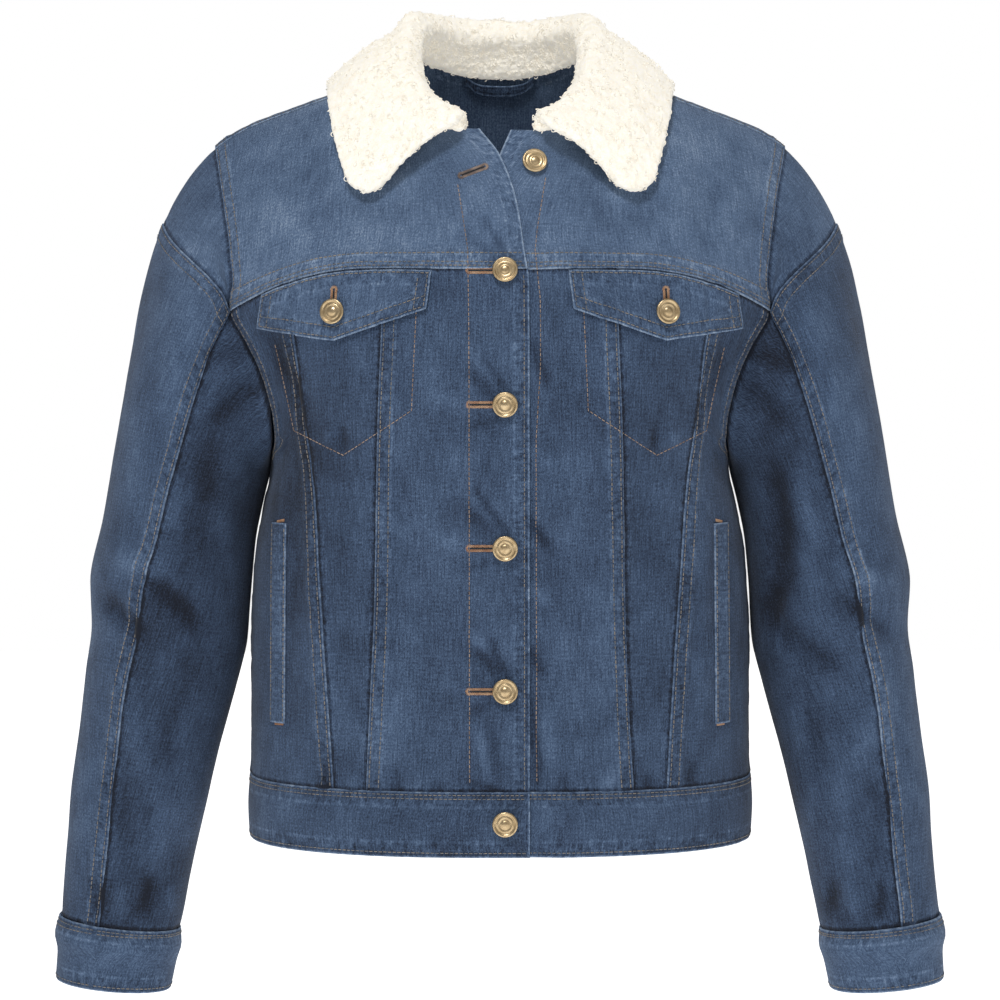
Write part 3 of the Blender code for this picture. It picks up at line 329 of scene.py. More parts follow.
BACK_FOLDS = (
    (-146.0, -205.0, -92.0, -262.0, 9.0, -1.6),
    (150.0, -198.0, 98.0, -270.0, 9.0, -1.5),
    (-120.0, -190.0, -70.0, -212.0, 9.0, 1.0),
    (118.0, -186.0, 64.0, -216.0, 8.0, 0.9),
    (-96.0, -300.0, -106.0, -470.0, 14.0, -1.1),
    (-52.0, -330.0, -44.0, -498.0, 12.0, 0.9),
    (12.0, -310.0, 4.0, -490.0, 16.0, -1.0),
    (66.0, -345.0, 58.0, -495.0, 11.0, 0.9),
    (112.0, -300.0, 120.0, -455.0, 13.0, -1.2),
    (-150.0, -330.0, -156.0, -480.0, 9.0, 1.0),
    (152.0, -340.0, 158.0, -470.0, 9.0, 0.9),
    (-30.0, -180.0, -18.0, -290.0, 15.0, 0.9),
    (38.0, -175.0, 30.0, -300.0, 14.0, -0.8),
    (-110.0, -60.0, -130.0, -140.0, 11.0, -0.9),
    (112.0, -66.0, 128.0, -146.0, 10.0, 0.8),
    (-60.0, -70.0, 58.0, -76.0, 13.0, -0.8),
    (-70.0, -104.0, 66.0, -118.0, 12.0, 0.6),
    (-118.0, -518.0, -116.0, -494.0, 4.5, -0.9),
    (-72.0, -518.0, -74.0, -496.0, 5.0, 0.8),
    (-28.0, -518.0, -27.0, -500.0, 4.5, -0.8),
    (22.0, -518.0, 20.0, -495.0, 5.0, 0.8),
    (70.0, -518.0, 73.0, -499.0, 4.5, -0.9),
    (116.0, -518.0, 119.0, -497.0, 5.0, 0.8),
)
SLEEVE_BACK_FOLDS = (
    (-205.0, -388.0, -262.0, -398.0, 8.0, -2.4),
    (-212.0, -410.0, -280.0, -424.0, 8.0, -2.0),
    (-210.0, -372.0, -270.0, -374.0, 9.0, 1.5),
    (-190.0, -290.0, -204.0, -370.0, 10.0, -1.5),
    (-178.0, -232.0, -214.0, -262.0, 8.0, -1.9),
    (-262.0, -300.0, -268.0, -360.0, 11.0, 0.9),
    (-240.0, -455.0, -250.0, -560.0, 9.0, 1.1),
    (-272.0, -470.0, -268.0, -570.0, 8.0, -1.2),
    (-252.0, -610.0, -250.0, -584.0, 5.0, -1.1),
    (-274.0, -612.0, -276.0, -586.0, 5.0, 1.0),
    (-296.0, -612.0, -294.0, -582.0, 5.0, -1.1),
    (203.0, -380.0, 258.0, -394.0, 8.0, -2.5),
    (212.0, -406.0, 284.0, -414.0, 8.0, -1.9),
    (206.0, -360.0, 272.0, -370.0, 9.0, 1.4),
    (192.0, -300.0, 202.0, -364.0, 10.0, -1.6),
    (176.0, -230.0, 212.0, -268.0, 8.0, -1.8),
    (264.0, -290.0, 270.0, -350.0, 11.0, 0.9),
    (238.0, -450.0, 252.0, -566.0, 9.0, 1.1),
    (272.0, -462.0, 266.0, -560.0, 8.0, -1.2),
    (254.0, -610.0, 252.0, -586.0, 5.0, -1.1),
    (276.0, -612.0, 277.0, -588.0, 5.0, 1.0),
    (298.0, -612.0, 295.0, -584.0, 5.0, -1.1),
)
# stitched outlines of the chest pockets' bags on the wearer's left, x and z
POCKET_BAG = ((57.0, -184.0), (60.0, -252.0), (107.4, -283.0), (143.0, -266.5), (156.0, -206.0))
LEFT_PLACKET = (
    (31.5, -92.0), (25.5, -128.0), (24.0, -143.0), (27.5, -176.0), (27.8, -217.0), (24.6, -272.0), (25.2, -508.0)
)
RIGHT_PLACKET = ((-29.0, -97.0), (-25.5, -119.0), (-22.0, -143.0), (-21.2, -200.0), (-20.8, -508.0))
BAR_TACKS = ((152.9, -330.2), (153.9, -471.6))  # at a welt's two ends, on the wearer's left
BUTTONHOLE = {"length": 17.0, "half_width": 1.0, "stitch": 1.9, "pitch": 0.62, "slit": 0.62, "middle_x": -12.4}

# how pale each kind of piece is: partly its own fading, partly painted light and shade, paler on the yokes and the
# sleeve cap that face the light from above, darker on the side panels, the sleeves' undersides, the hanging loop and
# the denim under the collar that lie in shade
FADE_LIGHT_AND_SHADE = {
    "front_yoke": 0.585,
    "back_yoke": 0.53,
    "front_centre": 0.365,
    "front_mid": 0.31,
    "front_side": 0.30,
    "back_panel": 0.37,
    "waistband": 0.365,
    "sleeve_cap": 0.50,
    "sleeve_over": 0.395,
    "sleeve_under": 0.265,
    "cuff": 0.48,
    "pocket_flap": 0.43,
    "pocket_welt": 0.42,
    "hanging_loop": 0.34,
    "collar_under": 0.30,
}
THREADS = {
    "thread_tonal": ((0.100, 0.110, 0.125), (0.260, 0.225, 0.185)),
    "thread_brown": ((0.160, 0.110, 0.085), (0.370, 0.270, 0.205)),
    "thread_copper": ((0.34, 0.165, 0.085), (0.52, 0.32, 0.19)),
    # the buttonholes' slits: near black, painted shade standing in for the shadow inside the cut
    "slit": ((0.008, 0.010, 0.015), (0.014, 0.016, 0.022)),
}


# ---------------------------------------------------------------- reading the tables
def column(table, names, name):
    """One named column of a table, as an array."""
    return np.array([row[names.index(name)] for row in table], float)


def through(knots, values, at):
    """A smooth curve through a table's rows: cubic pieces whose slopes are the flatter mean of their neighbours'."""
    knots, values = np.asarray(knots, float), np.asarray(values, float)
    steps = np.diff(knots)
    slopes = np.diff(values) / steps
    inner = np.where(
        slopes[:-1] * slopes[1:] > 0,
        2 * slopes[:-1] * slopes[1:] / np.where(slopes[:-1] + slopes[1:] == 0, 1, slopes[:-1] + slopes[1:]),
        0.0,
    )
    tangent = np.concatenate([slopes[:1], inner, slopes[-1:]])
    at = np.clip(np.asarray(at, float), knots[0], knots[-1])
    k = np.clip(np.searchsorted(knots, at, side="right") - 1, 0, len(steps) - 1)
    u = (at - knots[k]) / steps[k]
    return (
        values[k] * (1 + 2 * u) * (1 - u) ** 2
        + tangent[k] * steps[k] * u * (1 - u) ** 2
        + values[k + 1] * u * u * (3 - 2 * u)
        + tangent[k + 1] * steps[k] * u * u * (u - 1)
    )


def torso_size(name, z):
    return through(column(TORSO, TORSO_COLUMNS, "z"), column(TORSO, TORSO_COLUMNS, name), z)


def shoulder_line(x):
    """Height of the form's ridge at x: the shoulder's slope, and its rise into the neck."""
    x = np.abs(x)
    slope = through(column(SHOULDER, SHOULDER_COLUMNS, "x"), column(SHOULDER, SHOULDER_COLUMNS, "z"), x)
    return slope + NECK_RISE * np.clip(1 - (x / NECK_RISE_WIDTH) ** 2, 0, 1) ** 2


def armhole_x(z):
    return through(column(ARMHOLE, ARMHOLE_COLUMNS, "z"), column(ARMHOLE, ARMHOLE_COLUMNS, "x"), z)


def seam_x(name, z):
    return through(column(FRONT_SEAMS, SEAM_COLUMNS, "z"), column(FRONT_SEAMS, SEAM_COLUMNS, name), z)


def edge_x(name, z):
    return through(column(FRONT_EDGES, EDGE_COLUMNS, "z"), column(FRONT_EDGES, EDGE_COLUMNS, name), z)


def falling_seam(x, level_z, level_x):
    """A seam that is level in the middle and falls to the armhole's notch."""
    notch_x = float(armhole_x(NOTCH_Z))
    share = np.clip((np.abs(x) - level_x) / (notch_x - level_x), 0, 1)
    return level_z + (NOTCH_Z - level_z) * share * share


def yoke_seam_z(x):
    return falling_seam(x, YOKE_SEAM_Z, YOKE_SEAM_LEVEL_X)


def back_yoke_seam_z(x):
    return falling_seam(x, BACK_YOKE_Z, 60.0)


# ---------------------------------------------------------------- the body form
def side_angle(x, z):
    """How far round the section x lies: 0 in the middle, 90 degrees at the side seam, in radians."""
    share = np.clip(np.abs(x) / torso_size("half_width", z), 0, 1)
    return np.sign(x) * np.arcsin(share ** (SECTION_POWER / 2))


def side_x(angle, z):
    """The x at that angle round the section: the reverse of side_angle."""
    return np.sign(angle) * torso_size("half_width", z) * np.abs(np.sin(angle)) ** (2 / SECTION_POWER)


def climb(x, z):
    """How far up the shoulder z is at x: 0 at the base, 90 degrees at the ridge, in radians."""
    share = np.clip((z - SHOULDER_BASE_Z) / (shoulder_line(x) - SHOULDER_BASE_Z), 0, 1)
    return np.arcsin(share ** (RIDGE_POWER / 2))


def height_at(x, angle):
    """The height at that climb: the reverse of climb. Past 90 degrees it comes down the other side."""
    return SHOULDER_BASE_Z + (shoulder_line(x) - SHOULDER_BASE_Z) * np.abs(np.sin(angle)) ** (2 / RIDGE_POWER)


def bust(x, z):
    near = ((np.abs(x) - BUST["x"]) ** 2 + (z - BUST["z"]) ** 2) / BUST["radius"] ** 2
    return BUST["fullness"] * np.exp(-near)


def form(x, z, front):
    """A point of the body form in front of or behind the side seams. Its depth is a squarish ellipse's, |x/a|^n +
    |y/b|^n = 1, and above the shoulder's base it is scaled by the like curve that ends at the ridge."""
    width = np.clip(np.abs(x) / torso_size("half_width", z), 0, 1)
    across = (1 - width**SECTION_POWER) ** (1 / SECTION_POWER)
    rise = climb(x, z)
    closing = np.cos(rise) ** (2 / RIDGE_POWER)
    depth = np.where(front, -torso_size("front", z) - bust(x, z), torso_size("back", z))
    lean = RIDGE_Y * np.sin(rise) ** (4 / RIDGE_POWER)
    return np.stack([x, depth * across * closing + lean, np.broadcast_to(z, np.shape(x)) + 0.0], axis=-1)


def shoulder_form(x, angle):
    """A point over the shoulder: angle 0 is behind at the base, 90 degrees the ridge, 180 in front at the base."""
    z = height_at(x, angle)
    width = np.clip(np.abs(x) / torso_size("half_width", z), 0, 1)
    across = (1 - width**SECTION_POWER) ** (1 / SECTION_POWER)
    closing = np.abs(np.cos(angle)) ** (2 / RIDGE_POWER)
    depth = np.where(np.cos(angle) < 0, -torso_size("front", z) - bust(x, z), torso_size("back", z))
    lean = RIDGE_Y * np.abs(np.sin(angle)) ** (4 / RIDGE_POWER)
    return np.stack([x, depth * across * closing + lean, z], axis=-1)


def armhole_over(angle):
    """(x, angle) of the armhole's edge over the shoulder: x depends on the height there, so it is found by
    repeating."""
    x = np.full(np.shape(angle), 195.0)
    for _ in range(40):
        x = 0.5 * x + 0.5 * armhole_x(height_at(x, angle))
    return x


def surface_normals(points):
    """Unit normals of a grid of points, from the differences of its neighbours."""
    along, up = np.gradient(points, axis=1), np.gradient(points, axis=0)
    normal = np.cross(along, up)
    return normal / np.maximum(np.linalg.norm(normal, axis=-1, keepdims=True), 1e-9)


def patch(bottom, top, left, right):
    """Coons patch: bottom and top run left to right, left and right run upwards, and all four meet at the corners."""
    c = np.linspace(0, 1, len(bottom))[None, :, None]
    v = spread_of(left, right)[:, None, None]
    flat = (1 - v) * bottom[None] + v * top[None] + (1 - c) * left[:, None] + c * right[:, None]
    corners = (1 - c) * (1 - v) * bottom[0] + c * (1 - v) * bottom[-1] + (1 - c) * v * top[0] + c * v * top[-1]
    return flat - corners


def spread_of(left, right):
    """How far up each row lies, from 0 to 1, as the mean of the two side edges."""
    shares = [(edge[:, 1] - edge[0, 1]) / (edge[-1, 1] - edge[0, 1]) for edge in (left, right)]
    return sum(shares) / 2


# ---------------------------------------------------------------- the frame's pieces as surfaces
def mirrored(points):
    """The same piece on the other side, with its columns turned round so that it still faces outwards."""
    return (points * (-1.0, 1.0, 1.0))[:, ::-1]


def underlap(x):
    """How far behind the form the left front lies: fully under the right front's edge, and level past it."""
    share = np.clip((44.0 - x) / 20.0, 0, 1)
    return UNDERLAP_DEPTH * share * share * (3 - 2 * share)


def set_back(points):
    depth = underlap(points[..., 0])[..., None]
    return points - surface_normals(points) * depth


def lower_panel(inner, outer, rows, columns):
    """A front panel below the yoke seam. inner and outer give its edges' angle round the section by height."""
    share = np.linspace(0, 1, columns)
    top = np.full(columns, YOKE_SEAM_Z)
    for _ in range(8):
        top_angles = (1 - share) * inner(top) + share * outer(top)
        top = yoke_seam_z(side_x(top_angles, top)) - SEAM_GAP / 2
    lift = (rows - WAIST_SEAM_Z) / (rows[-1] - WAIST_SEAM_Z)
    z = WAIST_SEAM_Z + SEAM_GAP / 2 + lift[:, None] * (top - WAIST_SEAM_Z - SEAM_GAP / 2)[None]
    angle = (1 - share) * inner(z) + share * outer(z)
    return form(side_x(angle, z), z, True)


def shifted_seam(name, by):
    """A shaping seam's angle by height, moved outwards by some millimetres of width."""
    return lambda z: side_angle(seam_x(name, z) + by, z)


def shifted_edge(name):
    return lambda z: side_angle(edge_x(name, z), z)


def side_edge(z):
    """The side panel's outer edge: the side seam up to the armpit, then the armhole."""
    inset = SEAM_GAP / 2 / torso_size("front", z)
    up_arm = side_angle(armhole_x(z), z)
    return np.where(z < ARMPIT_Z, math.pi / 2 - inset, up_arm)


def neckline(edge, count):
    """(x, angle) along the front neckline, from the front's edge to the shoulder seam: level, then a quarter
    ellipse."""
    seam = math.radians(SEAM_ANGLE)
    top_z = float(height_at(NECK_HALF_WIDTH, seam))
    start = float(edge_x(edge, FRONT_NECK_Z))
    reach = NECK_HALF_WIDTH - NECK_FLAT_X
    level = max(NECK_FLAT_X - start, 0.0)
    quarter = math.pi / 4 * (reach + top_z - FRONT_NECK_Z)
    along = np.linspace(0, level + quarter, count)
    turn = math.pi / 2 - np.clip((along - level) / quarter, 0, 1) * math.pi / 2
    x = np.where(along < level, start + along, NECK_FLAT_X + (NECK_HALF_WIDTH - NECK_FLAT_X) * np.cos(turn))
    if level == 0.0:
        x = x + (start - NECK_FLAT_X) * (1 - along / quarter)
    z = np.where(along < level, FRONT_NECK_Z, top_z - (top_z - FRONT_NECK_Z) * np.sin(turn))
    angle = math.pi - climb(x, z)
    angle[-1] = seam
    return np.stack([x, angle], axis=-1)


def front_yoke(edge, neck_columns, shoulder_columns, rows):
    """A front yoke, as a patch in x and climb: the yoke seam, the neckline and shoulder seam, the edge, the armhole."""
    gap = SEAM_GAP / 2
    seam = math.radians(SEAM_ANGLE)
    columns = neck_columns + shoulder_columns - 1
    shoulder_end = float(armhole_over(np.array([seam]))[0])
    shoulder_x = np.linspace(NECK_HALF_WIDTH, shoulder_end, shoulder_columns)
    shoulder = np.stack([shoulder_x, np.full(shoulder_columns, seam)], axis=-1)
    top = np.concatenate([neckline(edge, neck_columns), shoulder[1:]])
    x = np.linspace(float(edge_x(edge, YOKE_SEAM_Z)), float(armhole_x(NOTCH_Z)), columns)
    bottom = np.stack([x, math.pi - climb(x, yoke_seam_z(x) + gap)], axis=-1)
    z = np.linspace(YOKE_SEAM_Z + gap, FRONT_NECK_Z, rows)
    x = edge_x(edge, z)
    left = np.stack([x, math.pi - climb(x, z)], axis=-1)
    angle = np.linspace(bottom[-1, 1], seam, rows)
    right = np.stack([armhole_over(angle), angle], axis=-1)
    left[0], left[-1], right[0], right[-1] = bottom[0], top[0], bottom[-1], top[-1]
    flat = patch(bottom, top, left, right)
    return shoulder_form(flat[..., 0], flat[..., 1] + math.radians(0.25) * (flat[..., 1] == seam))


def back_panel(rows, columns):
    """The back below its yoke, from one side seam round to the other: columns run towards the wearer's right."""
    inset = SEAM_GAP / 2
    share = np.linspace(1, -1, columns)
    lift = (rows - WAIST_SEAM_Z) / (rows[-1] - WAIST_SEAM_Z)
    top = np.full(columns, BACK_YOKE_Z)
    for _ in range(8):
        top = back_yoke_seam_z(side_x(share * side_angle(armhole_x(top), top), top)) - inset
    z = WAIST_SEAM_Z + inset + lift[:, None] * (top - WAIST_SEAM_Z - inset)[None]
    limit = np.where(z < ARMPIT_Z, math.pi / 2 - inset / torso_size("back", z), side_angle(armhole_x(z), z))
    return form(side_x(share[None] * limit, z), z, False)


def back_neckline(x):
    """The climb of the back neckline at x: lowest in the middle, and over the ridge to the shoulder seam at its
    ends."""
    middle = climb(0.0, BACK_NECK_Z)
    bow = 1 - np.sqrt(np.clip(1 - (x / NECK_HALF_WIDTH) ** 2, 0, 1))
    return middle + (math.radians(SEAM_ANGLE) - middle) * bow


def back_yoke(neck_columns, shoulder_columns, rows):
    """The back yoke, from the wearer's left to right: it goes over the ridge to the shoulder seam in front."""
    seam = math.radians(SEAM_ANGLE - 0.5)
    end = float(armhole_over(np.array([seam]))[0])
    neck_x = NECK_HALF_WIDTH * np.sin(np.linspace(1, -1, neck_columns) * math.pi / 2)
    shoulder_x = np.linspace(end, NECK_HALF_WIDTH, shoulder_columns)
    level = np.full(shoulder_columns - 1, seam)
    top = np.concatenate(
        [
            np.stack([shoulder_x[:-1], level], axis=-1),
            np.stack([neck_x, np.minimum(back_neckline(neck_x), seam)], axis=-1),
            np.stack([-shoulder_x[:-1][::-1], level], axis=-1),
        ]
    )
    x = np.linspace(1, -1, len(top)) * armhole_x(NOTCH_Z)
    bottom = np.stack([x, climb(x, back_yoke_seam_z(x) + SEAM_GAP / 2)], axis=-1)
    angle = np.linspace(bottom[0, 1], seam, rows)
    left = np.stack([armhole_over(angle), angle], axis=-1)
    left[0], left[-1] = bottom[0], top[0]
    right = left * (-1.0, 1.0)
    flat = patch(bottom, top, left, right)
    return shoulder_form(flat[..., 0], flat[..., 1])


def waistband(z, fineness):
    """One strip round the hem. It starts at the right front's edge, runs to the wearer's right, round the back and
    to the front again, where its end passes behind its start."""
    quarter = math.pi / 2
    start = float(side_angle(np.array(-edge_x("over", HEM_Z)), HEM_Z))
    end = float(side_angle(np.array(edge_x("under", HEM_Z)), HEM_Z))
    front_over = np.linspace(start, -quarter, 12 * fineness)
    behind = np.linspace(-quarter, quarter, 18 * fineness + 1)[1:-1]
    front_under = np.linspace(quarter, end, 14 * fineness)
    strips = []
    for angles, front, under in ((front_over, True, False), (behind, False, False), (front_under, True, True)):
        angle, height = np.meshgrid(angles, z)
        points = form(side_x(angle, height), height, front)
        if under:
            inward = underlap(points[..., 0])[..., None]
            points = points + np.array([0.0, 1.0, 0.0]) * inward
        strips.append(points)
    return np.concatenate(strips, axis=1)[:, ::-1]


def evenly(points, count):
    """A polyline's points again, evenly spaced along it."""
    along = np.concatenate([[0.0], np.cumsum(np.linalg.norm(np.diff(points, axis=0), axis=1))])
    at = np.linspace(0, along[-1], count)
    return np.stack([np.interp(at, along, points[:, k]) for k in range(3)], axis=-1)


def armhole_loop(turns):
    """The armhole's edge at each turn: 0 the shoulder's top, 0.25 the front notch, 0.5 the armpit, 0.75 the back
    notch. Each quarter is measured along the edge."""
    fine = 200
    notch = float(climb(armhole_x(NOTCH_Z), NOTCH_Z))
    over = np.linspace(math.pi - notch, math.pi / 2, fine)
    x = armhole_over(over)
    front_over = shoulder_form(x, over)[::-1]
    back_over = shoulder_form(x, math.pi - over)[::-1]
    down = NOTCH_Z + (ARMPIT_Z - NOTCH_Z) * np.sin(np.linspace(0, 1, fine) * math.pi / 2)
    under = {side: form(armhole_x(down), down, side == "front") for side in ("front", "back")}
    quarters = [front_over, under["front"], under["back"][::-1], back_over[::-1]]
    quarters = [evenly(points, fine) for points in quarters]
    turns = np.asarray(turns) % 1.0
    quarter = np.minimum((turns * 4).astype(int), 3)
    place = (turns * 4 - quarter) * (fine - 1)
    return np.array(
        [
            [np.interp(p, np.arange(fine), quarters[q][:, k]) for k in range(3)]
            for q, p in zip(quarter, place, strict=True)
        ]
    )


def ring(row, turns):
    """A sleeve ring's points at each turn, 0.25 and 0.75 being its two seams: a squarish ellipse whose width is the
    row's two ends and whose depth is along Y."""
    values = dict(zip(RING_COLUMNS, row, strict=True))
    outer = np.array([values["outer_x"], values["middle_y"], values["outer_z"]])
    inner = np.array([values["inner_x"], values["middle_y"], values["inner_z"]])
    middle, half = (outer + inner) / 2, (outer - inner) / 2
    turns = np.asarray(turns) % 1.0
    angle = np.radians(
        np.interp(turns, (0, 0.25, 0.5, 0.75, 1), (0, values["front_seam"], 180, 360 - values["back_seam"], 360))
    )
    power = 2 / SLEEVE_POWER
    across = np.sign(np.cos(angle)) * np.abs(np.cos(angle)) ** power
    deep = np.sign(np.sin(angle)) * np.abs(np.sin(angle)) ** power
    return middle + across[:, None] * half + deep[:, None] * np.array([0.0, -values["half_depth"], 0.0])


def blend_by_height(turns, top, low):
    """top at the shoulder, low at the armpit, and a smooth mix between, round the loop."""
    share = (1 + np.cos(2 * np.pi * np.asarray(turns))) / 2
    return share[:, None] * np.asarray(top) + (1 - share)[:, None] * np.asarray(low)


def sleeve_head(turns, along):
    """The sleeve between the armhole, along 0, and its first ring, along 1: a cubic for each turn, which leaves the
    armhole in the sleeve's own direction and reaches the ring in line with the arm."""
    start = armhole_loop(turns)
    stand_off = blend_by_height(turns, (SLEEVE_STANDS_OFF["top"], 0, 0), (SLEEVE_STANDS_OFF["armpit"], 0, 0))
    first, second = ring(SLEEVE_RINGS[0], turns), ring(SLEEVE_RINGS[1], turns)
    end = first
    start = start + stand_off
    reach = np.linalg.norm(end - start, axis=1, keepdims=True)
    leave = blend_by_height(turns, SLEEVE_LEAVES["top"], SLEEVE_LEAVES["armpit"])
    leave = leave / np.linalg.norm(leave, axis=1, keepdims=True) * reach
    arrive = second - first
    arrive = arrive / np.linalg.norm(arrive, axis=1, keepdims=True) * reach
    u = np.asarray(along)[..., None]
    return (
        start * (1 + 2 * u) * (1 - u) ** 2
        + leave * u * (1 - u) ** 2
        + end * u * u * (3 - 2 * u)
        + arrive * u * u * (u - 1)
    )


def cap_seam(turns):
    """How far down the head the cap's lower seam lies, at each turn from the back notch over the top to the front."""
    return CAP_DEPTH * np.clip(np.cos(2 * np.pi * np.asarray(turns)), 0, 1) ** 0.85


def head_grid(turns, start, end, rows):
    """Rows of the head between two curves, start and end, each a share of the way down for every turn."""
    shares = np.linspace(0, 1, rows)[:, None]
    return np.stack([sleeve_head(turns, row) for row in start + shares * (end - start)])


def sleeve_rings(table, turns, count):
    """Rings between a table's rows, each of its columns being a smooth curve through the rows."""
    table = np.array(table)
    places = np.linspace(0, len(table) - 1, count)
    rows = np.stack([through(np.arange(len(table)), table[:, k], places) for k in range(table.shape[1])], axis=-1)
    return np.stack([ring(row, turns) for row in rows])


def sleeve():
    """The four pieces of the left sleeve. Columns run round from behind, over the outside to the front, and rows run
    down."""
    gap = SEAM_GAP / 2 / HEAD_LENGTH
    edge, near = 0.25 - SLEEVE_SEAM_TURN, 0.25 - CAP_TIP_TURN
    over_turns = np.linspace(-edge, edge, 90)
    under_turns = np.linspace(0.5 - edge, 0.5 + edge, 70)
    cap_turns = np.linspace(-near, near, 80)
    none = np.full(len(cap_turns), gap)
    cap = head_grid(cap_turns, none, cap_seam(cap_turns) - gap, 24)
    head = head_grid(over_turns, cap_seam(over_turns) + gap, np.ones(len(over_turns)), 34)
    over = np.concatenate([head, sleeve_rings(SLEEVE_RINGS, over_turns, 140)[1:]])
    none = np.full(len(under_turns), gap)
    head = head_grid(under_turns, none, np.ones(len(under_turns)), 34)
    under = np.concatenate([head, sleeve_rings(SLEEVE_RINGS, under_turns, 140)[1:]])
    cuff = sleeve_rings(CUFF_RINGS, np.linspace(0.25, 1.25, 121), 30)
    return {"sleeve_cap": cap, "sleeve_over": over, "sleeve_under": under, "cuff": cuff}


def neck_ring(count):
    """The seam that the collar is sewn to, from the left front end round the back to the right front end."""
    fine = 160
    front = neckline("over", fine)
    front = front[front[:, 0] >= COLLAR_FRONT_X]
    front_points = shoulder_form(front[:, 0], front[:, 1])
    x = NECK_HALF_WIDTH * np.cos(np.linspace(0, 1, fine) * math.pi / 2)
    back_points = shoulder_form(x, back_neckline(x))
    half = evenly(np.concatenate([front_points, back_points[1:]]), count)
    return half


def collar_value(name, along):
    return through(column(COLLAR, COLLAR_COLUMNS, "along"), column(COLLAR, COLLAR_COLUMNS, name), along)


def collar_edge(along):
    """(x, angle) of the collar's outer edge, from its place and height on the shoulder."""
    x, z = collar_value("edge_x", along), collar_value("edge_z", along)
    side = collar_value("edge_side", along)
    rise = climb(x, z)
    return x, math.pi / 2 + side * (math.pi / 2 - rise)


def form_normal(x, angle):
    """The outward normal of the shoulder form, from small steps each way."""
    step = 0.01
    across = shoulder_form(x + 1.0, angle) - shoulder_form(x - 1.0, angle)
    up = shoulder_form(x, angle + step) - shoulder_form(x, angle - step)
    normal = np.cross(up, across)
    return normal / np.linalg.norm(normal, axis=-1, keepdims=True)


def collar_half(columns, shares):
    """The middle surface of the collar's left half. Each column is a smooth curve from the neck seam, up the stand,
    round the roll and down the fall to the outer edge."""
    seam = neck_ring(columns)
    along = np.linspace(0, 1, columns)
    centre = np.array([0.0, -8.0, 0.0])
    out = seam - centre
    out[:, 2] = 0
    out = out / np.linalg.norm(out, axis=1, keepdims=True)
    out[-1] = (0.0, 1.0, 0.0)
    up = np.array([0.0, 0.0, 1.0])
    stand, lean = collar_value("stand", along)[:, None], collar_value("lean", along)[:, None]
    radius = collar_value("roll_radius", along)[:, None]
    edge_across, edge_angle = collar_edge(along)
    edge = shoulder_form(edge_across, edge_angle) + form_normal(edge_across, edge_angle) * COLLAR_LIFT
    foot = seam + up * COLLAR_CLEAR
    inner = foot + up * stand * 0.86 - out * lean
    apex = foot + up * (stand + radius * 0.5) - out * (lean - radius)
    outer = foot + up * stand * 0.80 - out * (lean - 2 * radius)
    fall = outer * 0.5 + edge * 0.5 + up * 3.5 + out * 1.0
    knots = np.array([0.0, 0.20, 0.36, 0.45, 0.54, 0.76, 1.0])
    points = np.stack([foot, foot * 0.45 + inner * 0.55 + out * 0.8, inner, apex, outer, fall, edge])
    flat = points.reshape(len(knots), -1)
    return np.stack([spline_at(knots, flat, s) for s in shares]).reshape(len(shares), columns, 3)


def spline_at(knots, values, s):
    """A smooth curve through the knots for whole rows of numbers: cubic pieces with slopes from the neighbours."""
    slopes = np.gradient(values, knots, axis=0)
    k = int(np.clip(np.searchsorted(knots, s, side="right") - 1, 0, len(knots) - 2))
    step = knots[k + 1] - knots[k]
    u = (s - knots[k]) / step
    return (
        values[k] * (1 + 2 * u) * (1 - u) ** 2
        + slopes[k] * step * u * (1 - u) ** 2
        + values[k + 1] * u * u * (3 - 2 * u)
        + slopes[k + 1] * step * u * u * (u - 1)
    )


def whole_collar(half):
    """Both halves as one grid, from the right front end round the back to the left front end."""
    right = half * (-1.0, 1.0, 1.0)
    return np.concatenate([right, half[:, ::-1][:, 1:]], axis=1)


def hanging_loop():
    """A short strip inside the back neck, bowed downwards between its two sewn ends."""
    share = np.linspace(-1, 1, 9)
    x = share * LOOP["half_span"]
    top = LOOP["top"] - LOOP["drop"] * (1 - share**4)
    rows = []
    for width in (0.0, LOOP["width"] / 2, LOOP["width"]):
        z = top - width * (1 - 0.25 * share**4)
        rows.append(form(x, z, False) - np.array([0.0, LOOP["clear"], 0.0]))
    return np.stack(rows)


def flap():
    """A pocket flap on the left front: its top edge under the yoke seam, its foot cut to a point."""
    foot = np.array(FLAP["foot"])
    columns = 9
    share = np.linspace(0, 1, columns)
    foot_share = np.linspace(0, 1, len(foot))
    low = np.stack([np.interp(share, foot_share, foot[:, k]) for k in (0, 1)], axis=-1)
    x = FLAP["top_x"][0] + share * (FLAP["top_x"][1] - FLAP["top_x"][0])
    high = np.stack([x, yoke_seam_z(x) - FLAP_CLEAR], axis=-1)
    rows = np.linspace(0, 1, 4)[:, None, None]
    flat = low[None] * (1 - rows) + high[None] * rows
    return form(flat[..., 0], flat[..., 1], True)


def welt():
    """The side pocket's welt: a narrow strip on the left side panel."""
    rows, columns = 9, 3
    v = np.linspace(0, 1, rows)[:, None]
    c = np.linspace(0, 1, columns)[None]
    z = WELT["z_foot"] + v * (WELT["z_top"] - WELT["z_foot"]) + 0 * c
    ends = [WELT["x_foot"][k] * (1 - v) + WELT["x_top"][k] * v for k in (0, 1)]
    x = ends[0] * (1 - c) + ends[1] * c
    return form(x, z, True)


# ---------------------------------------------------------------- fine grids
def smooth(value, low, high):
    """0 up to low, 1 from high, and 3u^2 - 2u^3 between."""
    u = np.clip((value - low) / (high - low), 0, 1)
    return u * u * (3 - 2 * u)


def arcs(points, axis):
    """Each grid point's distance along its own row (axis 1) or column (axis 0), from the grid's first line."""
    step = np.linalg.norm(np.diff(points, axis=axis), axis=-1)
    start = np.zeros_like(step[:, :1] if axis == 1 else step[:1])
    return np.concatenate([start, np.cumsum(step, axis=axis)], axis=axis)


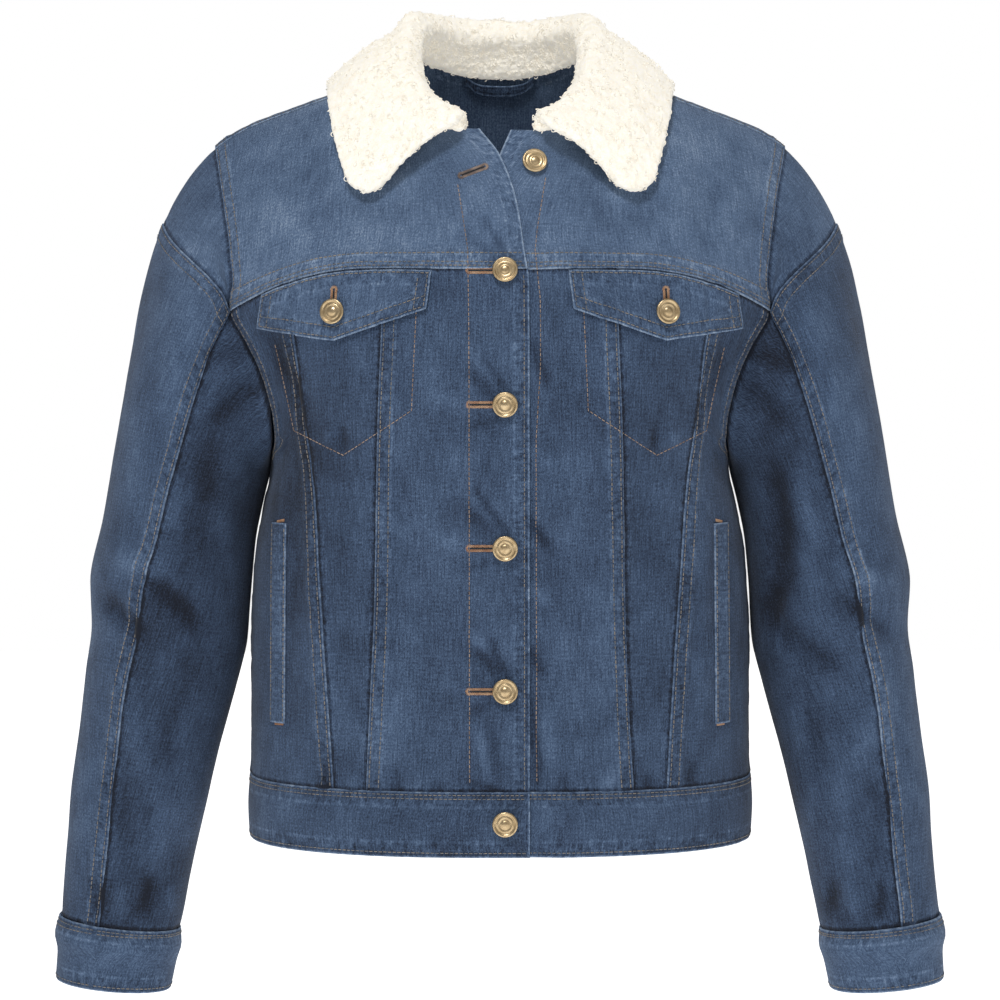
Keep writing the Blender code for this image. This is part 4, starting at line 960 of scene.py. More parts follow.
def spaced(lengths, start, end, step):
    """Distances along rows of these lengths: the start marks, even steps, and the end marks counted back."""
    start, end = np.array(start), np.array(end)
    fit = np.minimum(1.0, 0.8 * lengths / (start[-1] + end[-1] + 1e-9))[:, None]
    count = max(int(round((lengths.max() - start[-1] - end[-1]) / step)), 2)
    first, last = start * fit, lengths[:, None] - (end * fit)[:, ::-1]
    share = np.linspace(0, 1, count + 2)[1:-1]
    return np.concatenate([first, first[:, -1:] + share * (last[:, :1] - first[:, -1:]), last], axis=1)


def along_rows(points, start, end, step):
    """The grid with its columns moved along its rows to set arc lengths."""
    measured = arcs(points, 1)
    wanted = spaced(measured[:, -1], start, end, step)
    rows = [
        np.stack([np.interp(at, arc, row[:, k]) for k in range(3)], axis=-1)
        for at, arc, row in zip(wanted, measured, points, strict=True)
    ]
    return np.stack(rows)


def regrid(points, edges, step):
    """The surface again on lines that crowd beside each edge as its kind of seam asks, and are even between."""
    marks = {"band": BAND_MARKS, "tuck": PLAIN_MARKS, "free": FREE_MARKS, "closed": (0.0,), "hidden": (0.0, 2.0)}
    left, right, bottom, top = (marks[edges[side]] for side in ("left", "right", "bottom", "top"))
    across = along_rows(points, left, right, step)
    return along_rows(across.transpose(1, 0, 2), bottom, top, step).transpose(1, 0, 2)


def edge_distances(points):
    """{edge: (distance from it, distance along it)} for every grid point. The distance is the grid line's own arc
    length times the sine of its angle to the edge."""
    found = {}
    for edge, axis, line, second, last in (
        ("left", 1, 0, 1, False),
        ("right", 1, -1, -2, True),
        ("bottom", 0, 0, 1, False),
        ("top", 0, -1, -2, True),
    ):
        arc = arcs(points, axis)
        if last:
            arc = (arc[:, -1:] if axis == 1 else arc[-1:]) - arc
        border = points[:, line] if axis == 1 else points[line]
        inner = points[:, second] if axis == 1 else points[second]
        tangent, inward = np.gradient(border, axis=0), inner - border
        area = np.linalg.norm(np.cross(tangent, inward), axis=-1)
        sine = area / np.maximum(np.linalg.norm(tangent, axis=-1) * np.linalg.norm(inward, axis=-1), 1e-9)
        sine = np.clip(sine, 0.35, 1.0)
        along = np.concatenate([[0.0], np.cumsum(np.linalg.norm(np.diff(border, axis=0), axis=-1))])
        if axis == 1:
            found[edge] = (arc * sine[:, None], np.broadcast_to(along[:, None], arc.shape))
        else:
            found[edge] = (arc * sine[None], np.broadcast_to(along[None], arc.shape))
    return found


def soft_noise(a, b, seed):
    """Smooth noise from -1 to 1 on a unit lattice: each corner's value is a fixed scramble of its place, blended by
    3u^2 - 2u^3."""
    ia, ib = np.floor(a), np.floor(b)
    ua, ub = a - ia, b - ib
    ua, ub = ua * ua * (3 - 2 * ua), ub * ub * (3 - 2 * ub)

    def corner(da, db):
        scrambled = np.sin((ia + da) * 127.1 + (ib + db) * 311.7 + seed * 74.7) * 43758.5453
        return (scrambled - np.floor(scrambled)) * 2 - 1

    low = corner(0, 0) * (1 - ua) + corner(1, 0) * ua
    high = corner(0, 1) * (1 - ua) + corner(1, 1) * ua
    return low * (1 - ub) + high * ub


def fold_fade_and_shade(strokes):
    """The strokes as they tint the cloth, paler on ridges as fading and darker in troughs as painted shade: a broad
    fold hardly does.
    """
    return [(*stroke[:5], stroke[5] * min(1.0, (FADE_AND_SHADE_WIDTH / stroke[4]) ** 1.3)) for stroke in strokes]


def folds(points, facing, strokes):
    """The sum over the strokes of height * exp(-(across / half width)^2) * window(along), measured from each stroke's
    line in the front view, with the line bowed a little by noise, and times facing."""
    x, z = points[..., 0], points[..., 2]
    total = np.zeros_like(x)
    for number, (x0, z0, x1, z1, half_width, height) in enumerate(strokes):
        length = math.hypot(x1 - x0, z1 - z0)
        ax, az = (x1 - x0) / length, (z1 - z0) / length
        along = (x - x0) * ax + (z - z0) * az
        across = (z - z0) * ax - (x - x0) * az + half_width * 0.35 * soft_noise(along / 22.0, along * 0 + number, 3.0)
        fade_in = smooth(along, -0.25 * length, 0.35 * length)
        fade_out = 1 - smooth(along, 0.65 * length, 1.25 * length)
        total += height * np.exp(-((across / half_width) ** 2)) * fade_in * fade_out
    return total * facing * FOLD_DEPTH


def seam_lift(kind, distance, along, seed):
    """Height of the cloth beside one edge. A band is raised, dips at its two rows of stitches and puckers between
    them. A tucked edge lies a little low, and puckers too."""
    pucker = soft_noise(along / 7.3, distance / 9.0, seed) * 0.30
    pucker = pucker + soft_noise(along / 3.9, distance / 6.0, seed + 9) * 0.2
    if kind == "band":
        raised = BAND_RAISE * smooth(distance, -0.2, 0.6) * (1 - smooth(distance, BAND_WIDTH - 0.8, BAND_WIDTH + 2.6))
        dips = sum(0.34 * np.exp(-(((distance - row) / 0.9) ** 2)) for row in STITCH_ROWS)
        window = smooth(distance, 0.0, 1.4) * (1 - smooth(distance, BAND_WIDTH - 1, BAND_WIDTH + 9))
        return raised - dips + pucker * window
    if kind == "tuck":
        return (pucker * 1.1 - 0.12) * (1 - smooth(distance, 1.0, 12.0))
    if kind == "free":
        return 0.25 * (1 - smooth(distance, 0.4, 2.4)) + pucker * 0.5 * (1 - smooth(distance, 2.0, 8.0))
    return np.zeros_like(distance)


def nearest_seam(edges, distances, kinds):
    """(distance, along) of the nearest edge of these kinds, with a distance of 40 where the piece has none."""
    best = np.full(distances["left"][0].shape, 40.0)
    along = np.zeros_like(best)
    for side in [side for side in edges if edges[side] in kinds]:
        away, at = distances[side]
        along = np.where(away < best, at, along)
        best = np.minimum(away, best)
    return best, along


PIECES = {}
SHEET_AT_LEAST = 0.01  # a narrower strip is a tape, which is no sheet


def into_mesh(name, points, faces):
    """A mesh object at the origin from an array of points in millimetres and an array of faces."""
    mesh = bpy.data.meshes.new(name)
    mesh.from_pydata(points * MM, [], faces.tolist())
    mesh.shade_smooth()
    made = bpy.data.objects.new(name, mesh)
    bpy.context.scene.collection.objects.link(made)
    return made


def grid_faces(rows, columns):
    at = np.arange(rows * columns).reshape(rows, columns)
    return np.stack([at[:-1, :-1], at[:-1, 1:], at[1:, 1:], at[1:, :-1]], axis=-1).reshape(-1, 4)


def corner_map(mesh, name, corners):
    """A UV map from one pair of numbers for each corner of each face."""
    layer = mesh.uv_layers.new(name=name)
    layer.data.foreach_set("uv", corners.astype(np.float32).ravel())


def run_under(points, normals, edges, values):
    """The grid with a line more beyond each tucked edge, that runs on under the neighbour's band. values are other
    grids that keep their own edge's numbers there."""
    for side, axis, line, second in (("left", 1, 0, 1), ("right", 1, -1, -2), ("bottom", 0, 0, 1), ("top", 0, -1, -2)):
        if edges[side] != "tuck":
            continue
        take = (lambda grid, k: grid[:, k : k + 1 or None]) if axis == 1 else (lambda grid, k: grid[k : k + 1 or None])
        outward = take(points, line) - take(points, second)
        outward = outward / np.maximum(np.linalg.norm(outward, axis=-1, keepdims=True), 1e-6)
        more = take(points, line) + outward * TUCK["reach"] - take(normals, line) * TUCK["depth"]
        pairs = [(points, more), (normals, take(normals, line))] + [(grid, take(grid, line)) for grid in values]
        joined = [np.concatenate([new, old] if line == 0 else [old, new], axis=axis) for old, new in pairs]
        points, normals, values = joined[0], joined[1], joined[2:]
    return points, values


def make_cloth(name, points, edges, thickness=CLOTH, crease=None):
    """A cloth piece's object: its grid with the tucks, UV maps in metres of the cloth and of its seams, how far the
    folds raise it in millimetres as "crease", and a live wall."""
    normals = surface_normals(points)
    distances = edge_distances(points)
    maps = [*nearest_seam(edges, distances, ("band", "free")), *nearest_seam(edges, distances, ("tuck",))]
    rows, columns = points.shape[:2]
    across, up = arcs(points, 1), arcs(points, 0)
    across = across - across[:, columns // 2 : columns // 2 + 1]
    crease = np.zeros_like(across) if crease is None else crease
    grid, values = run_under(points, normals, edges, [across, up, *maps, crease])
    rows, columns = grid.shape[:2]
    faces = grid_faces(rows, columns)
    corners = faces.ravel()
    closed = edges["left"] == "closed"
    used, crease = (grid[:, :-1], values[-1][:, :-1]) if closed else (grid, values[-1])
    if closed:
        at = np.arange(rows * (columns - 1)).reshape(rows, columns - 1)
        at = np.concatenate([at, at[:, :1]], axis=1)
        faces = at.ravel()[faces]
    made = into_mesh(name, used.reshape(-1, 3), faces)
    made.data.attributes.new("crease", "FLOAT", "POINT").data.foreach_set("value", crease.ravel().astype(np.float32))
    for number, name in enumerate(("cloth", "band", "beside")):
        pair = values[2 * number : 2 * number + 2]
        corner_map(made.data, name, np.stack([value.ravel()[corners] for value in pair], axis=-1) * MM)
    wall = made.modifiers.new("wall", "SOLIDIFY")
    wall.thickness = thickness * MM
    wall.offset = 0.0
    return made


def sew_piece(node, surface, edges, strokes, back_strokes, rests_on, held="stretched", seed=1.0, shape=None, step=STEP):
    """One cut piece: its surface on a fine grid, moved along its normals by the folds, the seams and a broad, uneven
    swell."""
    flat = regrid(surface, edges, step)
    normals = surface_normals(flat)
    distances = edge_distances(flat)
    front = smooth(-normals[..., 1], -0.05, 0.35)
    back = smooth(normals[..., 1], -0.05, 0.35)
    # crease tints the colour: paler ridges as fading, darker troughs as painted shade
    crease = folds(flat, front, fold_fade_and_shade(strokes)) + folds(flat, back, fold_fade_and_shade(back_strokes))
    lift = folds(flat, front, strokes) + folds(flat, back, back_strokes)
    held_up = smooth(nearest_seam(edges, distances, ("tuck",))[0], 0.0, HELD_NEAR_TUCK)
    lift = np.where(lift < 0, lift * held_up, lift)
    lift = lift + 0.45 * soft_noise(flat[..., 0] / 41 + flat[..., 1] / 60, flat[..., 2] / 52, 5.0)
    lift = lift + 0.18 * soft_noise(flat[..., 0] / 15 + flat[..., 1] / 21, flat[..., 2] / 19, 6.0)
    for number, (side, kind) in enumerate(edges.items()):
        lift = lift + seam_lift(kind, *distances[side], seed + number * 3.0)
    if shape is not None:
        lift = lift + shape(distances)
    finished = flat + normals * lift[..., None]
    made = make_cloth(f"{node}_cloth", finished, edges, crease=crease)
    PIECES[node] = {"object": made, "points": finished, "normals": surface_normals(finished), "distances": distances}
    dress(made, node, flat)
    return made


def dress(made, node, flat):
    """What every cloth piece gets: its material by its kind, the body "root" as its parent, and the frame's part by its
    node hidden. Its flat cut is measured and not used further.
    """
    stem = node.removesuffix("_left").removesuffix("_right")
    made.data.materials.append(denim(stem))
    width, length = float(arcs(flat, 1)[:, -1].max()) * MM, float(arcs(flat, 0)[-1].max()) * MM
    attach(made, "root")
    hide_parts(node)
    if min(width, length) < SHEET_AT_LEAST:
        return


# ---------------------------------------------------------------- the cut pieces
def mirrored_edges(edges):
    """The same seams on the mirrored piece, whose columns run the other way."""
    return {"left": edges["right"], "right": edges["left"], "bottom": edges["bottom"], "top": edges["top"]}


def seams(left, right, bottom, top):
    return {"left": left, "right": right, "bottom": bottom, "top": top}


def both_cloths(stem, surface, edges, strokes, back_strokes, rests_on, **options):
    """The wearer's left piece, and its mirrored twin with its own folds."""
    sew_piece(f"{stem}_left", surface, edges, strokes, back_strokes, [f"{n}_left_cloth" for n in rests_on], **options)
    twin = [f"{n}_right_cloth" for n in rests_on]
    options["seed"] = options.get("seed", 1.0) + 50.0
    sew_piece(f"{stem}_right", mirrored(surface), mirrored_edges(edges), strokes, back_strokes, twin, **options)


def sew_body():
    gap = SEAM_GAP / 2
    lows = np.linspace(WAIST_SEAM_Z, NOTCH_Z, 110)
    centre = seams("free", "band", "tuck", "tuck")
    under = set_back(lower_panel(shifted_edge("under"), shifted_seam("inner", -gap), lows, 50))
    sew_piece("front_centre_left", under, centre, FRONT_FOLDS, (), ["front_yoke_left_cloth"], seed=2.0)
    over = mirrored(lower_panel(shifted_edge("over"), shifted_seam("inner", -gap), lows, 50))
    rests_on = ["front_yoke_right_cloth"]
    sew_piece("front_centre_right", over, mirrored_edges(centre), FRONT_FOLDS, (), rests_on, seed=12.0)
    mid = lower_panel(shifted_seam("inner", gap), shifted_seam("outer", -gap), lows, 30)
    both_cloths("front_mid", mid, seams("tuck", "tuck", "tuck", "tuck"), FRONT_FOLDS, (), ["front_yoke"], seed=4.0)
    side = lower_panel(shifted_seam("outer", gap), side_edge, lows, 60)
    both_cloths("front_side", side, seams("band", "band", "tuck", "tuck"), FRONT_FOLDS, (), ["front_yoke"], seed=6.0)
    yoke = seams("free", "band", "band", "hidden")
    left, right = set_back(front_yoke("under", 60, 50, 60)), mirrored(front_yoke("over", 60, 50, 60))
    sew_piece("front_yoke_left", left, yoke, FRONT_FOLDS, (), ["back_yoke_cloth"], held="draped", seed=8.0)
    rests_on = ["back_yoke_cloth"]
    sew_piece("front_yoke_right", right, mirrored_edges(yoke), FRONT_FOLDS, (), rests_on, held="draped", seed=9.0)
    back = seams("band", "band", "tuck", "tuck")
    sew_piece("back_panel", back_panel(lows, 160), back, (), BACK_FOLDS, ["back_yoke_cloth"], seed=14.0, step=BACK_STEP)
    back = seams("band", "band", "band", "band")
    rests_on, surface = ["worn_shoulders"], back_yoke(80, 40, 60)
    sew_piece("back_yoke", surface, back, (), BACK_FOLDS, rests_on, held="draped", seed=16.0, step=BACK_STEP)
    z = np.linspace(0, 1, 14)
    strip = waistband(HEM_Z + (WAIST_SEAM_Z - SEAM_GAP / 2 - HEM_Z) * z, 8)
    hem = seams("free", "free", "free", "free")
    sew_piece("waistband", strip, hem, (), (), ["back_panel_cloth"], seed=18.0, shape=hem_roll)


def hem_roll(distances):
    """A folded strip's section: 0.9 mm proud, rolled in at its seam and at its hem."""
    top, foot = distances["top"][0], distances["bottom"][0]
    return 0.9 * smooth(top, 0.0, 1.2) * smooth(foot, 0.0, 1.4) - 0.3 * (
        np.exp(-(((top - 2.6) / 0.9) ** 2)) + np.exp(-(((foot - 3.0) / 0.9) ** 2))
    )


def cuff_roll(distances):
    """A folded strip's section, drawn in at its top, where it holds the sleeve."""
    return hem_roll(distances) - CUFF_DRAWN_IN * (1 - smooth(distances["top"][0], 0.0, 16.0))


def sew_sleeves():
    fine = sleeve()
    edges = {
        "sleeve_cap": seams("hidden", "hidden", "tuck", "tuck"),
        "sleeve_over": seams("band", "band", "tuck", "band"),
        "sleeve_under": seams("tuck", "tuck", "tuck", "tuck"),
        "cuff": seams("closed", "closed", "free", "free"),
    }
    rests = {
        "sleeve_cap": ["front_yoke"],
        "sleeve_over": ["sleeve_cap"],
        "sleeve_under": ["sleeve_over"],
        "cuff": ["sleeve_over"],
    }
    for number, (stem, points) in enumerate(fine.items()):
        shape = cuff_roll if stem == "cuff" else None
        both_cloths(
            stem,
            points[::-1, ::-1],
            edges[stem],
            SLEEVE_FOLDS,
            SLEEVE_BACK_FOLDS,
            rests[stem],
            held="hung",
            seed=20.0 + number * 4,
            shape=shape,
            step=SLEEVE_STEP,
        )


def front_surface(x, z, side):
    """(points, normals) of the finished fronts' middle at x and z: the nearest grid point's tangent plane there."""
    names = [n for n in PIECES if n.startswith("front_") and n.endswith(side)]
    points = np.concatenate([PIECES[n]["points"].reshape(-1, 3) for n in names])
    normals = np.concatenate([PIECES[n]["normals"].reshape(-1, 3) for n in names])
    x, z = np.ravel(x), np.ravel(z)
    shares = len(x) // 200 + 1  # a few hundred places at a time, to spare memory
    nearest = np.concatenate(
        [
            np.argmin((part_x[:, None] - points[None, :, 0]) ** 2 + (part_z[:, None] - points[None, :, 2]) ** 2, axis=1)
            for part_x, part_z in zip(np.array_split(x, shares), np.array_split(z, shares), strict=True)
        ]
    )
    near, normal = points[nearest], normals[nearest]
    off = (x - near[:, 0]) * normal[:, 0] + (z - near[:, 2]) * normal[:, 2]
    y = near[:, 1] - off / np.minimum(normal[:, 1], -0.2)
    return np.stack([x, y, z], axis=-1), normal


def laid_on(surface, side, lift):
    """A grid laid on a front: every point moved to the finished cloth under it, then lifted along its normal."""
    points, normals = front_surface(surface[..., 0], surface[..., 2], side)
    return (points + normals * np.ravel(lift)[:, None]).reshape(surface.shape)


def sew_patches():
    """The pocket flaps and the welts, laid on the finished fronts."""
    for stem, surface, step, base in (("pocket_flap", flap(), 2.6, 1.5), ("pocket_welt", welt(), 2.2, 1.0)):
        for side in ("left", "right"):
            grid = surface if side == "left" else mirrored(surface)
            edges = seams("free", "free", "free", "free")
            flat = regrid(grid, edges, step)
            distances = edge_distances(flat)
            foot = distances["bottom"][0]
            rim = np.minimum(np.minimum(distances["left"][0], distances["right"][0]), foot)
            lift = base + smooth(rim, 0.0, 1.6) * 0.55
            if stem == "pocket_flap":
                lift = lift + 0.9 * (1 - smooth(foot, 0.0, 16.0)) - 0.35 * np.exp(-(((rim - 2.2) / 0.9) ** 2))
                lift = lift - 0.35 * np.exp(-(((rim - 8.6) / 0.9) ** 2))
                near_rim = 1 - smooth(rim, 9.0, 15.0)
                lift = lift + 0.22 * soft_noise(flat[..., 0] / 6.5, flat[..., 2] / 6.5, 31.0) * near_rim
            node = f"{stem}_{side}"
            finished = laid_on(flat, side, lift)
            made = make_cloth(f"{node}_cloth", finished, edges, thickness=PATCH_CLOTH)
            normals = surface_normals(finished)
            PIECES[node] = {"object": made, "points": finished, "normals": normals, "distances": distances}
            dress(made, node, flat)


def sew_inside():
    """The hanging loop, and the denim under the collar's fall."""
    loop = hanging_loop()
    hidden = seams("hidden", "hidden", "free", "free")
    sew_piece("hanging_loop", loop, hidden, (), (), ["back_yoke_cloth"], held="hung", seed=41.0, step=2.0)
    shares = np.linspace(UNDER_COLLAR_FROM, 1.0, 24)
    fall = whole_collar(collar_half(60, shares))
    under = (fall - surface_normals(fall) * UNDER_COLLAR_IN)[:, 3:-3]
    under[-3:] = under[-3:] * 0.6 + under[-4:-3] * 0.4
    free = seams("free", "free", "free", "free")
    sew_piece("collar_under", under, free, (), (), ["collar_pile"], held="draped", seed=43.0, step=4.5)


# ---------------------------------------------------------------- thread
STITCHES = {name: [] for name in THREADS}


def capsule():
    """A stitch of unit length along X and unit radius: four-sided rings at x = -1/2, -0.38, 0.38, 1/2, with radii
    0.35, 1, 1, 0.35, and an end face each."""
    turn = np.arange(4) * math.pi / 2 + math.pi / 4
    rings = [(x, radius) for x, radius in ((-0.5, 0.35), (-0.38, 1.0), (0.38, 1.0), (0.5, 0.35))]
    points = np.array([[(x, radius * math.cos(t), radius * math.sin(t)) for t in turn] for x, radius in rings])
    points = points.reshape(-1, 3)
    faces = []
    for ring_number in range(3):
        for k in range(4):
            a, b = ring_number * 4 + k, ring_number * 4 + (k + 1) % 4
            faces.append((a, b, b + 4, a + 4))
    faces.append((3, 2, 1, 0))
    faces.append((12, 13, 14, 15))
    return points, np.array(faces)[:, ::-1]


def stitches(thread, places, tangents, normals, length, radius):
    """Keeps stitches for their thread: each one's middle, the way it runs and the way it faces."""
    tangents = tangents / np.linalg.norm(tangents, axis=1, keepdims=True)
    across = np.cross(normals, tangents)
    across = across / np.linalg.norm(across, axis=1, keepdims=True)
    facing = np.cross(tangents, across)
    count = len(places)
    sizes = np.broadcast_to(np.array([length, radius]), (count, 2))
    STITCHES[thread].append((places, tangents, across, facing, sizes))


def stitch_line(line, normals, thread, lift=CLOTH / 2 + 0.12, pitch=None, trim=0.0):
    """A row of stitches, one pitch apart, along a line on the cloth."""
    pitch = pitch or STITCH["pitch"]
    arc = np.concatenate([[0.0], np.cumsum(np.linalg.norm(np.diff(line, axis=0), axis=1))])
    count = int((arc[-1] - 2 * trim) / pitch)
    if count < 1:
        return
    middle = trim + (np.arange(count) + 0.5) * pitch
    ends = [np.stack([np.interp(middle + d, arc, line[:, k]) for k in range(3)], axis=-1) for d in (-0.9, 0.0, 0.9)]
    facing = np.stack([np.interp(middle, arc, normals[:, k]) for k in range(3)], axis=-1)
    facing = facing / np.linalg.norm(facing, axis=1, keepdims=True)
    stitches(thread, ends[1] + facing * lift, ends[2] - ends[0], facing, STITCH["length"], STITCH["radius"])


def stitch_edge(node, edge, away, thread="thread_tonal", trim=1.0, lift=CLOTH / 2 + 0.12, keep=None):
    """A row of stitches at a set distance from one edge of a finished piece."""
    piece = PIECES[node]
    distance = piece["distances"][edge][0]
    points, normals = piece["points"], piece["normals"]
    if edge in ("bottom", "top"):
        distance, points, normals = distance.T, points.transpose(1, 0, 2), normals.transpose(1, 0, 2)
    turned = slice(None, None, -1) if edge in ("right", "top") else slice(None)
    distance, points, normals = distance[:, turned], points[:, turned], normals[:, turned]
    index = np.arange(distance.shape[1])
    at = np.array([np.interp(away, row, index) for row in distance])
    low = np.minimum(at.astype(int), len(index) - 2)
    share = (at - low)[:, None]
    rows = np.arange(len(at))
    line = points[rows, low] * (1 - share) + points[rows, low + 1] * share
    facing = normals[rows, low] * (1 - share) + normals[rows, low + 1] * share
    if keep is not None:
        kept = keep(line)
        line, facing = line[kept], facing[kept]
    if len(line) > 2:
        stitch_line(line, facing, thread, lift=lift, trim=trim)


def stitch_rows(node, edge, distances, **options):
    for away in distances:
        stitch_edge(node, edge, away, **options)


def densely(corners, step=2.0):
    """A polyline's points again, every step or less, with its corners kept."""
    corners = np.array(corners, float)
    parts = []
    for start, end in zip(corners[:-1], corners[1:], strict=True):
        count = max(int(np.linalg.norm(end - start) / step), 2)
        parts.append(start + (end - start) * np.linspace(0, 1, count, endpoint=False)[:, None])
    return np.concatenate([*parts, corners[-1:]])


def line_on_front(corners, side, thread, lift=CLOTH / 2 + 0.12):
    flat = densely(corners)
    points, normals = front_surface(flat[:, 0], flat[:, 1], side)
    stitch_line(points, normals, thread, lift=lift)


def satin(thread, middle, along, facing, outline, length, lift):
    """Close-set stitches square to an outline. The outline is rows of (along, across, angle), in the plane of the
    cloth at middle."""
    across = np.cross(facing, along)
    places = middle + outline[:, :1] * along + outline[:, 1:2] * across + facing * lift
    tangents = np.cos(outline[:, 2:3]) * along + np.sin(outline[:, 2:3]) * across
    stitches(thread, places, tangents, np.broadcast_to(facing, places.shape), length, 0.32)


def buttonhole(x, z, side, upright):
    """A worked hole's place on the front, and its outline: close stitches along both sides of a long loop and round its
    two ends.
    """
    middle, facing = (found[0] for found in front_surface(np.array([x]), np.array([z]), side))
    along = np.array([0.0, 0.0, 1.0]) if upright else np.array([1.0, 0.0, 0.0])
    along = along - facing * np.dot(along, facing)
    along = along / np.linalg.norm(along)
    half, width, pitch = BUTTONHOLE["length"] / 2, BUTTONHOLE["half_width"], BUTTONHOLE["pitch"]
    run = np.arange(-half, half, pitch)
    sides = [np.stack([run, run * 0 + sign * (width + 0.5), run * 0 + math.pi / 2], axis=-1) for sign in (-1.0, 1.0)]
    turn = np.linspace(-math.pi / 2, math.pi / 2, 9)
    eye = [np.stack([half * s + np.cos(turn) * 1.9 * s, np.sin(turn) * 1.9, turn * s], axis=-1) for s in (1.0, -1.0)]
    lift = CLOTH / 2 + 0.15
    return middle, along, facing, np.concatenate(sides + eye), lift


def work_buttonhole(x, z, side, upright=False, extra=0.0):
    """A buttonhole in copper thread on a front, or raised by extra on a flap."""
    middle, along, facing, outline, lift = buttonhole(x, z, side, upright)
    lift = lift + extra
    satin("thread_copper", middle, along, facing, outline, BUTTONHOLE["stitch"], lift)
    # the slit: a near-black strip, painted shade inside the cut
    slit = (middle + facing * (lift - 0.12))[None]
    stitches("slit", slit, along[None], facing[None], BUTTONHOLE["length"], BUTTONHOLE["slit"])


def bar_tack(x, z, side, length=9.0, lift=CLOTH / 2 + 0.15):
    """A short bar of close stitches, across a welt's end."""
    middle, facing = (found[0] for found in front_surface(np.array([x]), np.array([z]), side))
    run = np.arange(-length / 2, length / 2, 0.7)
    along = np.array([1.0, 0.0, 0.0]) - facing * facing[0]
    along = along / np.linalg.norm(along)
    outline = np.stack([run, run * 0, run * 0 + math.pi / 2], axis=-1)
    satin("thread_copper", middle, along, facing, outline, 2.2, lift)


TOP_BUTTONHOLE = {"at": (-18.5, -88.0), "along": 0.94, "across": 0.34}  # open, turned up towards its button
FLAP_HOLE = {"above_button": 6.5, "lift": 2.4}


def sew_threads():
    """Every row of stitches, then the buttonholes and the bars, made as one mesh for each thread."""
    sides = (("left", "right", "left", 1.0), ("right", "left", "right", -1.0))
    for side, outer, inner, sign in sides:
        stitch_rows(f"front_centre_{side}", outer, STITCH_ROWS)
        stitch_rows(f"front_side_{side}", inner, STITCH_ROWS)
        stitch_rows(f"front_side_{side}", outer, STITCH_ROWS, keep=lambda line: line[:, 2] > ARMPIT_Z - 4)
        stitch_rows(f"front_yoke_{side}", "bottom", (2.0, 4.6, 10.8))
        stitch_rows(f"front_yoke_{side}", outer, STITCH_ROWS)
        stitch_rows(f"sleeve_over_{side}", "left", STITCH_ROWS)
        stitch_rows(f"sleeve_over_{side}", "right", STITCH_ROWS)
        stitch_rows(f"sleeve_over_{side}", "top", STITCH_ROWS)
        stitch_rows(f"cuff_{side}", "top", (2.6,), trim=0.0)
        stitch_rows(f"cuff_{side}", "bottom", (3.0, 40.0), trim=0.0)
        for edge in ("left", "right", "bottom"):
            stitch_rows(f"pocket_flap_{side}", edge, (2.2, 8.6), lift=0.9, trim=2.2)
        stitch_rows(f"pocket_flap_{side}", "top", (2.0,), lift=0.9)
        stitch_rows(f"pocket_welt_{side}", "left", (1.4,), lift=0.9)
        stitch_rows(f"pocket_welt_{side}", "right", (1.4,), lift=0.9)
        line_on_front(np.array(POCKET_BAG) * (sign, 1.0), side, "thread_brown")
        for x, z in BAR_TACKS:
            bar_tack(x * sign, z, side)
    stitch_rows("front_centre_right", "right", (3.6,))
    line_on_front(LEFT_PLACKET, "left", "thread_brown")
    line_on_front(RIGHT_PLACKET, "right", "thread_brown")
    stitch_rows("back_yoke", "bottom", (2.0, 4.6, 10.8))
    stitch_rows("back_yoke", "left", STITCH_ROWS)
    stitch_rows("back_yoke", "right", STITCH_ROWS)
    for sign in (-1.0, 1.0):
        stitch_rows("back_yoke", "top", (2.0,), keep=lambda line, sign=sign: line[:, 0] * sign > NECK_HALF_WIDTH + 4)
    for edge in ("left", "right"):
        stitch_rows("back_panel", edge, STITCH_ROWS)
    stitch_rows("waistband", "top", (2.0, 4.6))
    stitch_rows("waistband", "bottom", (3.0,))
    for height in BUTTON_HEIGHTS[:-1]:
        work_buttonhole(BUTTONHOLE["middle_x"], height, "right")
    middle, along, facing, outline, lift = buttonhole(*TOP_BUTTONHOLE["at"], "right", False)
    tilted = along * TOP_BUTTONHOLE["along"] + np.cross(facing, along) * TOP_BUTTONHOLE["across"]
    satin("thread_brown", middle, tilted, facing, outline, BUTTONHOLE["stitch"], lift)
    # the slit: a near-black strip, painted shade inside the cut
    slit = (middle + facing * lift)[None]
    stitches("slit", slit, tilted[None], facing[None], BUTTONHOLE["length"], BUTTONHOLE["slit"])
    for side, sign in (("left", 1.0), ("right", -1.0)):
        work_buttonhole(FLAP_BUTTON["x"] * sign, FLAP_BUTTON["z"] + FLAP_HOLE["above_button"], side, True, extra=FLAP_HOLE["lift"])
    shape, shape_faces = capsule()
    for thread, kept in STITCHES.items():
        places, tangents, across, facing, sizes = (np.concatenate([part[k] for part in kept]) for k in range(5))
        at = places[:, None] + shape[None, :, :1] * tangents[:, None] * sizes[:, None, :1]
        at = at + shape[None, :, 1:2] * across[:, None] * sizes[:, None, 1:]
        at = at + shape[None, :, 2:] * facing[:, None] * sizes[:, None, 1:]
        faces = shape_faces[None] + np.arange(len(places))[:, None, None] * len(shape)
        made = into_mesh(f"stitching_{thread}", at.reshape(-1, 3), faces.reshape(-1, 4))
        made.data.materials.append(thread_material(thread))
        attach(made, "root")


# ---------------------------------------------------------------- the sherpa collar
PILE = {"half": 3.1, "nub": 1.5, "cell": 3.5, "columns": 150, "rows": 92}
CURLS = {"count": 3300, "radius": 1.35, "thread": 0.42, "turns": 0.8, "points": 7, "lift": 0.6}


SCRAMBLE = {
    "scale": 43758.5453,
    "waves": ((127.1, 311.7, 74.7), (269.5, 183.3, 246.1), (113.5, 271.9, 124.6)),
}


def scattered(cells, seed):
    """Three fixed scrambles of a lattice cell's place, each from 0 to 1."""
    mixed = [np.sin(cells @ np.array(waves) + seed) * SCRAMBLE["scale"] for waves in SCRAMBLE["waves"]]
    return np.stack([value - np.floor(value) for value in mixed], axis=-1)


